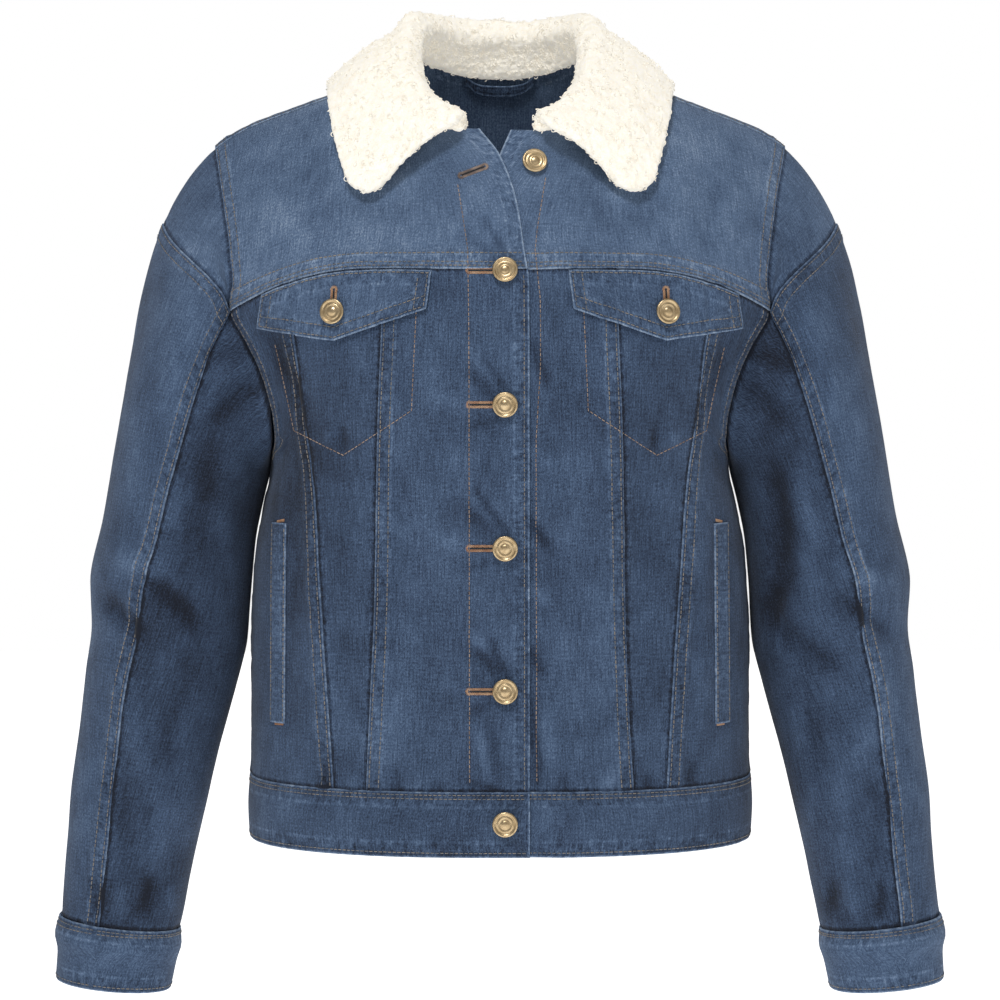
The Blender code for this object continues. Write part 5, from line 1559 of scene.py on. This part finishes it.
def nubs(points, cell):
    """Rounded tufts: 1 over a scattered point of each lattice cell, falling as sqrt(1 - (away / 0.72 cell)^2)."""
    base = np.floor(points / cell)
    nearest = np.full(len(points), 9.0)
    for dx in (-1, 0, 1):
        for dy in (-1, 0, 1):
            for dz in (-1, 0, 1):
                cells = base + (dx, dy, dz)
                seeds = (cells + 0.15 + 0.7 * scattered(cells, 1.7)) * cell
                nearest = np.minimum(nearest, ((points - seeds) ** 2).sum(axis=1))
    return np.sqrt(np.clip(1 - nearest / (0.74 * cell) ** 2, 0, 1))


def rounded_sheet(middle, half, ends):
    """The skin of a thick sheet with round edges: beyond each edge the middle runs on by half * sin t while the
    thickness falls as cos t, so both faces meet on one closed border."""
    grid, thick = middle, np.ones(middle.shape[:2])
    for axis in (0, 1):
        for first in (True, False):
            line, second = (0, 1) if first else (-1, -2)
            border = grid[line] if axis == 0 else grid[:, line]
            inner = grid[second] if axis == 0 else grid[:, second]
            side = thick[line] if axis == 0 else thick[:, line]
            outward = border - inner
            outward = outward / np.maximum(np.linalg.norm(outward, axis=-1, keepdims=True), 1e-6)
            turns = np.linspace(0, 1, ends + 1)[1:] * math.pi / 2
            more = [border + outward * half * math.sin(t) * side[:, None] for t in turns]
            thinner = [side * math.cos(t) for t in turns]
            if first:
                more, thinner = more[::-1], thinner[::-1]
            more, thinner = np.stack(more, axis=axis), np.stack(thinner, axis=axis)
            grid = np.concatenate([more, grid] if first else [grid, more], axis=axis)
            thick = np.concatenate([thinner, thick] if first else [thick, thinner], axis=axis)
    normals = surface_normals(grid)
    rows, columns = grid.shape[:2]
    offset = normals * (thick * half)[..., None]
    at = np.arange(rows * columns).reshape(rows, columns)
    under = at + rows * columns
    under[0], under[-1], under[:, 0], under[:, -1] = at[0], at[-1], at[:, 0], at[:, -1]
    points = np.concatenate([(grid + offset).reshape(-1, 3), (grid - offset).reshape(-1, 3)])
    points[at[0]], points[at[-1]] = grid[0], grid[-1]
    points[at[:, 0]], points[at[:, -1]] = grid[:, 0], grid[:, -1]

    def quads(index):
        return np.stack([index[:-1, :-1], index[:-1, 1:], index[1:, 1:], index[1:, :-1]], axis=-1).reshape(-1, 4)

    faces = np.concatenate([quads(at), quads(under)[:, ::-1]])
    used = np.unique(faces)
    index = np.zeros(len(points), int)
    index[used] = np.arange(len(used))
    return points[used], index[faces]


def vertex_normals(points, faces):
    """Each point's unit normal: the sum of its faces' crossed diagonals."""
    normal = np.cross(points[faces[:, 2]] - points[faces[:, 0]], points[faces[:, 3]] - points[faces[:, 1]])
    total = np.zeros_like(points)
    for k in range(4):
        np.add.at(total, faces[:, k], normal)
    return total / np.maximum(np.linalg.norm(total, axis=1, keepdims=True), 1e-9)


def sew_collar():
    """The collar's pile: a thick rounded sheet with a tuft in every cell, and loose curls on it."""
    middle = whole_collar(collar_half(PILE["columns"], np.linspace(0.0, 1.0, PILE["rows"])))
    points, faces = rounded_sheet(middle[:, ::-1], PILE["half"], 4)
    outward = vertex_normals(points, faces)
    broad = soft_noise(points[:, 0] / 17 + points[:, 1] / 23, points[:, 2] / 15, 71.0) * 0.9
    tuft = nubs(points, PILE["cell"])
    fine = nubs(points + 50.0, PILE["cell"] * 0.55)
    skin = points + outward * (PILE["nub"] * tuft + 0.45 * fine + broad - 0.4)[:, None]
    made = into_mesh("collar_pile", skin, faces)
    made.data.materials.append(sherpa_material())
    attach(made, "root")
    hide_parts("collar_sherpa")
    curls = sew_curls(points, outward, broad)


def sew_curls(points, outward, broad):
    """Loose curls: each is an open loop, r (cos t, sin t) for part of a turn with a small rise, set at its own tilt on
    the pile, as a three-sided tube."""
    chance = np.random.default_rng(7)
    chosen = chance.choice(len(points), CURLS["count"], replace=False)
    normal = outward[chosen]
    helper = np.where(np.abs(normal[:, 2:]) < 0.8, np.array([0.0, 0.0, 1.0]), np.array([1.0, 0.0, 0.0]))
    first = np.cross(normal, helper)
    first /= np.linalg.norm(first, axis=1, keepdims=True)
    second = np.cross(normal, first)
    spin, tilt = chance.uniform(0, 2 * math.pi, (2, len(chosen), 1))
    tilt = 0.5 + 0.5 * np.sin(tilt)
    u = first * np.cos(spin) + second * np.sin(spin)
    w = np.cross(normal, u) * np.cos(tilt) + normal * np.sin(tilt)
    axis = np.cross(u, w)
    radius = CURLS["radius"] * chance.uniform(0.7, 1.25, (len(chosen), 1))
    turn = np.linspace(0, CURLS["turns"] * 2 * math.pi, CURLS["points"])
    centre = points[chosen] + normal * (CURLS["lift"] + broad[chosen][:, None] + PILE["nub"] * 0.5)
    cos, sin = np.cos(turn)[None, :, None], np.sin(turn)[None, :, None]
    radial = u[:, None] * cos + w[:, None] * sin
    rise = axis[:, None] * (np.linspace(-0.5, 0.5, len(turn))[None, :, None] * 0.9)
    path = centre[:, None] + radial * radius[:, None] + rise
    sides = np.arange(3) * 2 * math.pi / 3
    thin = CURLS["thread"] * np.sin(np.linspace(0.35, math.pi - 0.35, len(turn))) ** 0.5
    outward = radial[:, :, None] * np.cos(sides)[None, None, :, None]
    sideways = axis[:, None, None] * np.sin(sides)[None, None, :, None]
    ring_points = path[:, :, None] + (outward + sideways) * thin[None, :, None, None]
    count, steps = len(chosen), len(turn)
    at = np.arange(count * steps * 3).reshape(count, steps, 3)
    a, b = at[:, :-1], np.roll(at[:, :-1], -1, axis=2)
    c, d = np.roll(at[:, 1:], -1, axis=2), at[:, 1:]
    faces = np.stack([a, b, c, d], axis=-1).reshape(-1, 4)[:, ::-1]
    caps = [at[:, 0, :], at[:, -1, ::-1]]
    mesh_faces = faces.tolist() + np.concatenate(caps).tolist()
    mesh = bpy.data.meshes.new("collar_curls")
    mesh.from_pydata(ring_points.reshape(-1, 3) * MM, [], mesh_faces)
    mesh.shade_smooth()
    made = bpy.data.objects.new("collar_curls", mesh)
    bpy.context.scene.collection.objects.link(made)
    made.data.materials.append(sherpa_material())
    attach(made, "root")
    return made


# ---------------------------------------------------------------- buttons
# radius and height above the cloth, from the shank's foot to the top's middle
BUTTON_TURNED = (
    (0.0, 0.0),
    (3.0, 0.0),
    (3.0, 1.7),
    (7.9, 1.9),
    (8.5, 2.3),
    (8.75, 2.9),
    (8.6, 3.5),
    (8.1, 3.95),
    (7.5, 4.0),
    (7.0, 3.7),
    (6.75, 3.25),
    (6.3, 3.1),
    (5.6, 3.15),
    (5.2, 3.45),
    (4.8, 3.55),
    (4.4, 3.35),
    (3.9, 3.2),
    (2.9, 3.3),
    (2.5, 3.7),
    (1.7, 4.05),
    (0.8, 4.2),
    (0.0, 4.22),
)
BUTTON_TURN_SIDES = 40


def turned(profile, sides):
    """A surface of revolution about Z, (r cos t, r sin t, h), with one point where the profile meets the axis."""
    profile = np.array(profile)
    turn = np.arange(sides) * 2 * math.pi / sides
    inner = profile[1:-1]
    rings = np.stack(
        [inner[:, :1] * np.cos(turn), inner[:, :1] * np.sin(turn), np.repeat(inner[:, 1:], sides, axis=1)], axis=-1
    )
    points = np.concatenate([[(0.0, 0.0, profile[0, 1])], rings.reshape(-1, 3), [(0.0, 0.0, profile[-1, 1])]])
    at = 1 + np.arange(len(inner) * sides).reshape(len(inner), sides)
    after = np.roll(at, -1, axis=1)
    faces = np.stack([at[:-1], after[:-1], after[1:], at[1:]], axis=-1).reshape(-1, 4).tolist()
    faces += [[0, int(b), int(a)] for a, b in zip(at[0], after[0], strict=True)]
    faces += [[len(points) - 1, int(a), int(b)] for a, b in zip(at[-1], after[-1], strict=True)]
    return points, faces


def fasten_buttons():
    """A turned button on the finished cloth at each of the frame's button places."""
    shape, faces = turned(BUTTON_TURNED, BUTTON_TURN_SIDES)
    wanted = [(f"button_front_{k + 2}", BUTTON_X, z, "right", 0.0) for k, z in enumerate(BUTTON_HEIGHTS)]
    wanted.append(("button_front_1", TOP_BUTTON["x"], TOP_BUTTON["z"], "left", 0.0))
    wanted.append(("button_flap_left", FLAP_BUTTON["x"], FLAP_BUTTON["z"], "left", 2.3))
    wanted.append(("button_flap_right", -FLAP_BUTTON["x"], FLAP_BUTTON["z"], "right", 2.3))
    for node, x, z, side, more in wanted:
        if z < WAIST_SEAM_Z:
            z_low, z_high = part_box(node)
            place = (np.array(z_low) + np.array(z_high)) / 2 / MM
            facing = np.array([0.0, -1.0, 0.0])
            place[1] = np.array(z_high)[1] / MM
        else:
            place, facing = (found[0] for found in front_surface(np.array([x]), np.array([z]), side))
        across = np.cross([0.0, 0.0, 1.0], facing)
        across = across / np.linalg.norm(across)
        up = np.cross(facing, across)
        at = place + shape[:, :1] * across + shape[:, 1:2] * up + (shape[:, 2:] + 0.5 + more) * facing
        mesh = bpy.data.meshes.new(f"{node}_turned")
        mesh.from_pydata(at * MM, [], faces)
        mesh.shade_smooth()
        made = bpy.data.objects.new(f"{node}_turned", mesh)
        bpy.context.scene.collection.objects.link(made)
        made.data.materials.append(brass_material())
        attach(made, "root")
        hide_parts(node)


# ---------------------------------------------------------------- materials
def node(tree, kind, inputs=None, **settings):
    """A shader node, with its settings, and its inputs by name or number: each a value or another node's output."""
    made = tree.nodes.new(kind)
    for name, value in settings.items():
        setattr(made, name, value)
    for name, value in (inputs or {}).items():
        if isinstance(value, bpy.types.NodeSocket):
            tree.links.new(value, made.inputs[name])
        else:
            made.inputs[name].default_value = value
    return made


def maths(tree, operation, first, second=0.0):
    return node(tree, "ShaderNodeMath", {0: first, 1: second}, operation=operation).outputs[0]


def ramp(tree, value, low, high, to_low=0.0, to_high=1.0):
    """value mapped smoothly from low..high to to_low..to_high, and held there."""
    inputs = {"Value": value, "From Min": low, "From Max": high, "To Min": to_low, "To Max": to_high}
    return node(tree, "ShaderNodeMapRange", inputs, interpolation_type="SMOOTHSTEP").outputs["Result"]


def scaled(tree, vector, scale):
    inputs = {0: vector, 1: scale}
    return node(tree, "ShaderNodeVectorMath", inputs, operation="MULTIPLY").outputs[0]


def noise(tree, vector, scale, detail=1.0, roughness=0.5):
    """Noise from about -1 to 1 over vector times scale."""
    inputs = {"Vector": scaled(tree, vector, scale), "Scale": 1.0, "Detail": detail, "Roughness": roughness}
    made = node(tree, "ShaderNodeTexNoise", inputs)
    return maths(tree, "MULTIPLY", made.outputs["Fac"], 2.0)


def centred(tree, value):
    return maths(tree, "SUBTRACT", value, 1.0)


def group(name, inputs, outputs):
    """An empty shader node group with named float inputs and named outputs, and its two end nodes."""
    made = bpy.data.node_groups.new(name, "ShaderNodeTree")
    for socket, value in inputs.items():
        made.interface.new_socket(socket, in_out="INPUT", socket_type="NodeSocketFloat").default_value = value
    for socket, kind in outputs.items():
        made.interface.new_socket(socket, in_out="OUTPUT", socket_type=kind)
    return made, made.nodes.new("NodeGroupInput"), made.nodes.new("NodeGroupOutput")


def total(tree, *terms):
    """The sum of weight times value over the terms."""
    result = None
    for weight, value in terms:
        part = maths(tree, "MULTIPLY", value, weight)
        result = part if result is None else maths(tree, "ADD", result, part)
    return result


def seam_place(tree, name):
    """(place in millimetres, distance from the seam) from one of the cloth's two seam maps."""
    place = scaled(tree, node(tree, "ShaderNodeUVMap", uv_map=name).outputs["UV"], (1000.0, 1000.0, 0.0))
    return place, node(tree, "ShaderNodeSeparateXYZ", {0: place}).outputs["X"]


def seam_wear_and_shade():
    """Wear and painted shade at felled seams. The map "band" gives the distance in from a raised band's folded edge,
    and "beside" the distance from the seam on the cloth that it is folded over. Out come how much paler the cloth is,
    rubbed paler at the edges and mottled, with painted shade darker at the first row of stitches and a painted shadow
    line beside the band, and how high."""
    tree, _, end = group("seam_wear_and_shade", {}, {"Pale": "NodeSocketFloat", "Height": "NodeSocketFloat"})
    place, away = seam_place(tree, "band")
    on_band = ramp(tree, away, BAND_WIDTH - 1.0, BAND_WIDTH + 2.0, 1.0, 0.0)
    edge = ramp(tree, away, 0.5, 1.5, 1.0, 0.0)
    inner = maths(tree, "MULTIPLY", ramp(tree, away, 8.8, 10.2), ramp(tree, away, 10.6, 12.2, 1.0, 0.0))
    # rows: painted shade, darker where the cloth dips at the first row of stitches
    rows = maths(tree, "MULTIPLY", ramp(tree, away, 1.2, 2.0), ramp(tree, away, 2.2, 3.2, 1.0, 0.0))
    puckers = centred(tree, noise(tree, place, (0.14, 0.25, 0.0), 2.0, 0.6))
    broken = centred(tree, noise(tree, place, (0.05, 0.13, 0.0), 1.0))
    by, out = seam_place(tree, "beside")
    beside = ramp(tree, out, 0.8, 7.5, 0.85, 0.0)
    # shadow: a painted shadow line on the cloth beside a band's folded edge
    shadow = ramp(tree, out, 0.4, 2.6, 1.0, 0.0)
    beside_puckers = centred(tree, noise(tree, by, (0.12, 0.22, 0.0), 2.0, 0.6))
    band_mottled, beside_mottled = (
        maths(tree, "MULTIPLY", marks, place) for marks, place in ((puckers, on_band), (beside_puckers, beside))
    )
    mottled = maths(tree, "ADD", band_mottled, beside_mottled)
    edge = maths(tree, "MULTIPLY", edge, maths(tree, "ADD", maths(tree, "MULTIPLY", broken, 0.7), 0.85))
    # edge, mottled and inner are the seams' real rubbing; rows and shadow are painted shade
    pale = total(tree, (0.34, edge), (0.38, mottled), (-0.01, on_band), (0.10, inner), (-0.08, rows), (-0.24, shadow))
    height = total(tree, (1.1, mottled), (0.5, edge), (-0.5, rows))
    tree.links.new(pale, end.inputs["Pale"])
    tree.links.new(height, end.inputs["Height"])
    return tree


def washed_denim():
    """Washed denim, from the cloth map: a fine grain, upright slubs, a steep twill and broad fading, with the seams'
    rubbed edges and painted shade, and the folds' crease as fading on ridges and painted shade in troughs. Fade is how
    pale it is: each kind of piece's own fading together with painted light and shade."""
    outputs = {"Color": "NodeSocketColor", "Height": "NodeSocketFloat", "Roughness": "NodeSocketFloat"}
    tree, start, end = group("washed_denim", {"Fade": 0.4}, outputs)
    place = scaled(tree, node(tree, "ShaderNodeUVMap", uv_map="cloth").outputs["UV"], (1000.0, 1000.0, 0.0))
    world = node(tree, "ShaderNodeTexCoord").outputs["Object"]
    grain = centred(tree, noise(tree, place, (0.95, 0.62, 1.0), 3.0, 0.65))
    slub = centred(tree, noise(tree, place, (1.05, 0.055, 1.0), 2.0))
    cross = centred(tree, noise(tree, place, (0.07, 0.9, 1.0), 1.0))
    blotch = centred(tree, noise(tree, world, (34.0, 34.0, 26.0), 4.0, 0.62))
    broad = centred(tree, noise(tree, world, (9.0, 9.0, 7.0), 1.0))
    parts = node(tree, "ShaderNodeSeparateXYZ", {0: place})
    steep_x, steep_y = (maths(tree, "MULTIPLY", parts.outputs[axis], rate) for axis, rate in (("X", 5.2), ("Y", 2.6)))
    steep = maths(tree, "ADD", steep_x, steep_y)
    twill = maths(tree, "SINE", steep)
    seam_wear_shade = node(tree, "ShaderNodeGroup")
    seam_wear_shade.node_tree = seam_wear_and_shade()
    # the folds' crease: paler on ridges as fading, darker in troughs as painted shade standing in for the folds' own
    # shading
    raised = node(tree, "ShaderNodeAttribute", attribute_name="crease").outputs["Fac"]
    crease = ramp(tree, raised, -3.2, 3.2, -1.0, 1.0)
    terms = ((0.46, grain), (0.24, slub), (0.09, cross), (0.22, blotch), (0.15, broad), (0.02, twill), (0.24, crease))
    value = maths(tree, "ADD", total(tree, *terms, (1.0, seam_wear_shade.outputs["Pale"])), start.outputs["Fade"])
    colours = node(tree, "ShaderNodeValToRGB", {"Fac": value})
    stops = (
        (0.0, (0.010, 0.013, 0.022)),
        (0.22, (0.026, 0.042, 0.078)),
        (0.42, (0.053, 0.086, 0.152)),
        (0.62, (0.098, 0.152, 0.250)),
        (1.0, (0.30, 0.38, 0.50)),
    )
    elements = colours.color_ramp.elements
    for number, (position, colour) in enumerate(stops):
        element = elements[number] if number < 2 else elements.new(position)
        element.position, element.color = position, (*colour, 1.0)
    height = total(tree, (0.5, grain), (0.35, slub), (0.22, twill), (1.0, seam_wear_shade.outputs["Height"]))
    tree.links.new(colours.outputs["Color"], end.inputs["Color"])
    tree.links.new(height, end.inputs["Height"])
    tree.links.new(total(tree, (-0.12, value), (1.0, node(tree, "ShaderNodeValue").outputs[0])), end.inputs["Roughness"])
    tree.nodes["Value"].outputs[0].default_value = 0.93
    return tree


def material(name, look):
    """A material by name, made once: look adds its nodes and returns what feeds the shader."""
    made = bpy.data.materials.get(name)
    if made is not None:
        return made
    made = bpy.data.materials.new(name)
    made.use_nodes = True
    tree = made.node_tree
    shader = tree.nodes["Principled BSDF"]
    look(tree, shader)
    return made


def feed(tree, shader, colour, roughness, height, distance, strength):
    """Colour, roughness and a bump of that height into the shader."""
    tree.links.new(colour, shader.inputs["Base Color"])
    if isinstance(roughness, float):
        shader.inputs["Roughness"].default_value = roughness
    else:
        tree.links.new(roughness, shader.inputs["Roughness"])
    bump = node(tree, "ShaderNodeBump", {"Height": height, "Distance": distance, "Strength": strength})
    tree.links.new(bump.outputs["Normal"], shader.inputs["Normal"])


def denim(stem):
    """Washed denim for one kind of piece, with its own fading and its painted light and shade."""

    def look(tree, shader):
        made = node(tree, "ShaderNodeGroup")
        made.node_tree = bpy.data.node_groups.get("washed_denim") or washed_denim()
        made.inputs["Fade"].default_value = FADE_LIGHT_AND_SHADE[stem]
        feed(tree, shader, made.outputs["Color"], made.outputs["Roughness"], made.outputs["Height"], 0.00035, 0.8)
        shader.inputs["Sheen Weight"].default_value = 0.06
        shader.inputs["Sheen Roughness"].default_value = 0.5
        shader.inputs["Specular IOR Level"].default_value = 0.18

    return material(f"denim_{stem}", look)


def thread_material(name):
    """Spun thread: two near colours in uneven lengths."""

    def look(tree, shader):
        world = node(tree, "ShaderNodeTexCoord").outputs["Object"]
        mix = ramp(tree, centred(tree, noise(tree, world, (160.0, 160.0, 160.0), 2.0)), -0.4, 0.4)
        colours = [(*colour, 1.0) for colour in THREADS[name]]
        made = node(tree, "ShaderNodeMix", {"Factor": mix}, data_type="RGBA")
        made.inputs[6].default_value, made.inputs[7].default_value = colours
        tree.links.new(made.outputs[2], shader.inputs["Base Color"])
        shader.inputs["Roughness"].default_value = 0.75

    return material(name, look)


def sherpa_material():
    """Cream pile, two near colours mixed by noise, with a warm glow of its own: painted light that lifts its shade."""

    def look(tree, shader):
        world = node(tree, "ShaderNodeTexCoord").outputs["Object"]
        fibres = centred(tree, noise(tree, world, (900.0, 900.0, 900.0), 2.0, 0.7))
        clumps = centred(tree, noise(tree, world, (190.0, 190.0, 190.0), 2.0))
        mix = ramp(tree, total(tree, (0.6, fibres), (0.5, clumps)), -0.6, 0.5)
        made = node(tree, "ShaderNodeMix", {"Factor": mix}, data_type="RGBA")
        made.inputs[6].default_value = (0.66, 0.60, 0.49, 1.0)
        made.inputs[7].default_value = (0.82, 0.80, 0.745, 1.0)
        feed(tree, shader, made.outputs[2], 0.95, total(tree, (1.0, fibres), (0.6, clumps)), 0.0004, 0.5)
        shader.inputs["Sheen Weight"].default_value = 0.25
        shader.inputs["Specular IOR Level"].default_value = 0.1
        # a warm glow: painted light that brightens the pile's shaded hollows and the inside of the collar
        shader.inputs["Emission Color"].default_value = (1.0, 0.95, 0.84, 1.0)
        shader.inputs["Emission Strength"].default_value = 0.32

    return material("sherpa_pile", look)


def brass_material():
    """Pale brushed brass with a little tarnish."""

    def look(tree, shader):
        world = node(tree, "ShaderNodeTexCoord").outputs["Object"]
        tarnish = centred(tree, noise(tree, world, (220.0, 220.0, 220.0), 4.0, 0.6))
        scratches = centred(tree, noise(tree, world, (2400.0, 500.0, 900.0), 1.0))
        made = node(tree, "ShaderNodeMix", {"Factor": ramp(tree, tarnish, -0.5, 0.5)}, data_type="RGBA")
        made.inputs[6].default_value = (0.40, 0.29, 0.16, 1.0)
        made.inputs[7].default_value = (0.62, 0.48, 0.29, 1.0)
        feed(tree, shader, made.outputs[2], ramp(tree, tarnish, -0.6, 0.6, 0.46, 0.30), scratches, 0.00004, 0.5)
        shader.inputs["Metallic"].default_value = 0.9

    return material("brass_buttons", look)


# ---------------------------------------------------------------- the studio
CAMERA = {"place": (0.0, -2.2, -0.227), "aim": (0.0, 0.0, -0.318), "lens": 110.0}
LIGHTS = (
    ("key", (-0.45, -1.8, 2.5), (0.0, 0.0, -0.25), 0.9, 62.0),
    ("fill", (1.9, -1.8, 0.5), (0.0, 0.0, -0.3), 1.6, 4.0),
    ("back", (0.6, 2.4, 1.6), (0.0, 0.0, -0.2), 1.8, 18.0),
)


WORLD_LIGHT = 0.24


FLOOR = {"x": (-9e3, 9e3, 9e3, -9e3), "y": (-6e3, -6e3, 9e3, 9e3), "z": -1250.0}


def studio():
    scene = bpy.context.scene
    data = bpy.data.cameras.new("camera")
    data.lens, data.sensor_width = CAMERA["lens"], 36.0
    camera = bpy.data.objects.new("camera", data)
    camera.location = CAMERA["place"]
    look_at(camera, CAMERA["aim"])
    scene.collection.objects.link(camera)
    scene.camera = camera
    for name, place, aim, size, power in LIGHTS:
        lamp = bpy.data.lights.new(name, "AREA")
        lamp.shape, lamp.size, lamp.energy = "DISK", size, power
        light = bpy.data.objects.new(name, lamp)
        light.location = place
        look_at(light, aim)
        scene.collection.objects.link(light)
    world = bpy.data.worlds.new("studio")
    scene.world = world
    world.use_nodes = True
    tree = world.node_tree
    soft = tree.nodes["Background"]
    soft.inputs["Strength"].default_value = WORLD_LIGHT
    soft.inputs["Color"].default_value = (1.0, 1.0, 1.0, 1.0)
    white = node(tree, "ShaderNodeBackground", {"Color": (1.0, 1.0, 1.0, 1.0), "Strength": 1.0})
    seen = node(tree, "ShaderNodeLightPath").outputs["Is Camera Ray"]
    both = node(tree, "ShaderNodeMixShader", {0: seen, 1: soft.outputs[0], 2: white.outputs[0]})
    tree.links.new(both.outputs[0], tree.nodes["World Output"].inputs["Surface"])
    scene.view_settings.view_transform = "Standard"
    corners = [(x, y, FLOOR["z"]) for x, y in zip(FLOOR["x"], FLOOR["y"], strict=True)]
    floor = into_mesh("floor", np.array(corners), np.array([(0, 1, 2, 3)]))

    def look(tree, shader):
        shader.inputs["Base Color"].default_value = (0.93, 0.93, 0.93, 1.0)
        shader.inputs["Roughness"].default_value = 0.9
        shader.inputs["Emission Color"].default_value = (1.0, 1.0, 1.0, 1.0)
        shader.inputs["Emission Strength"].default_value = 1.0

    floor.data.materials.append(material("pale_floor", look))


def look_at(thing, aim):
    thing.rotation_euler = (Vector(aim) - thing.location).to_track_quat("-Z", "Y").to_euler()


studio()
sew_body()
sew_sleeves()
sew_patches()
sew_inside()
sew_collar()
sew_threads()
fasten_buttons()
bpy.context.view_layer.update()
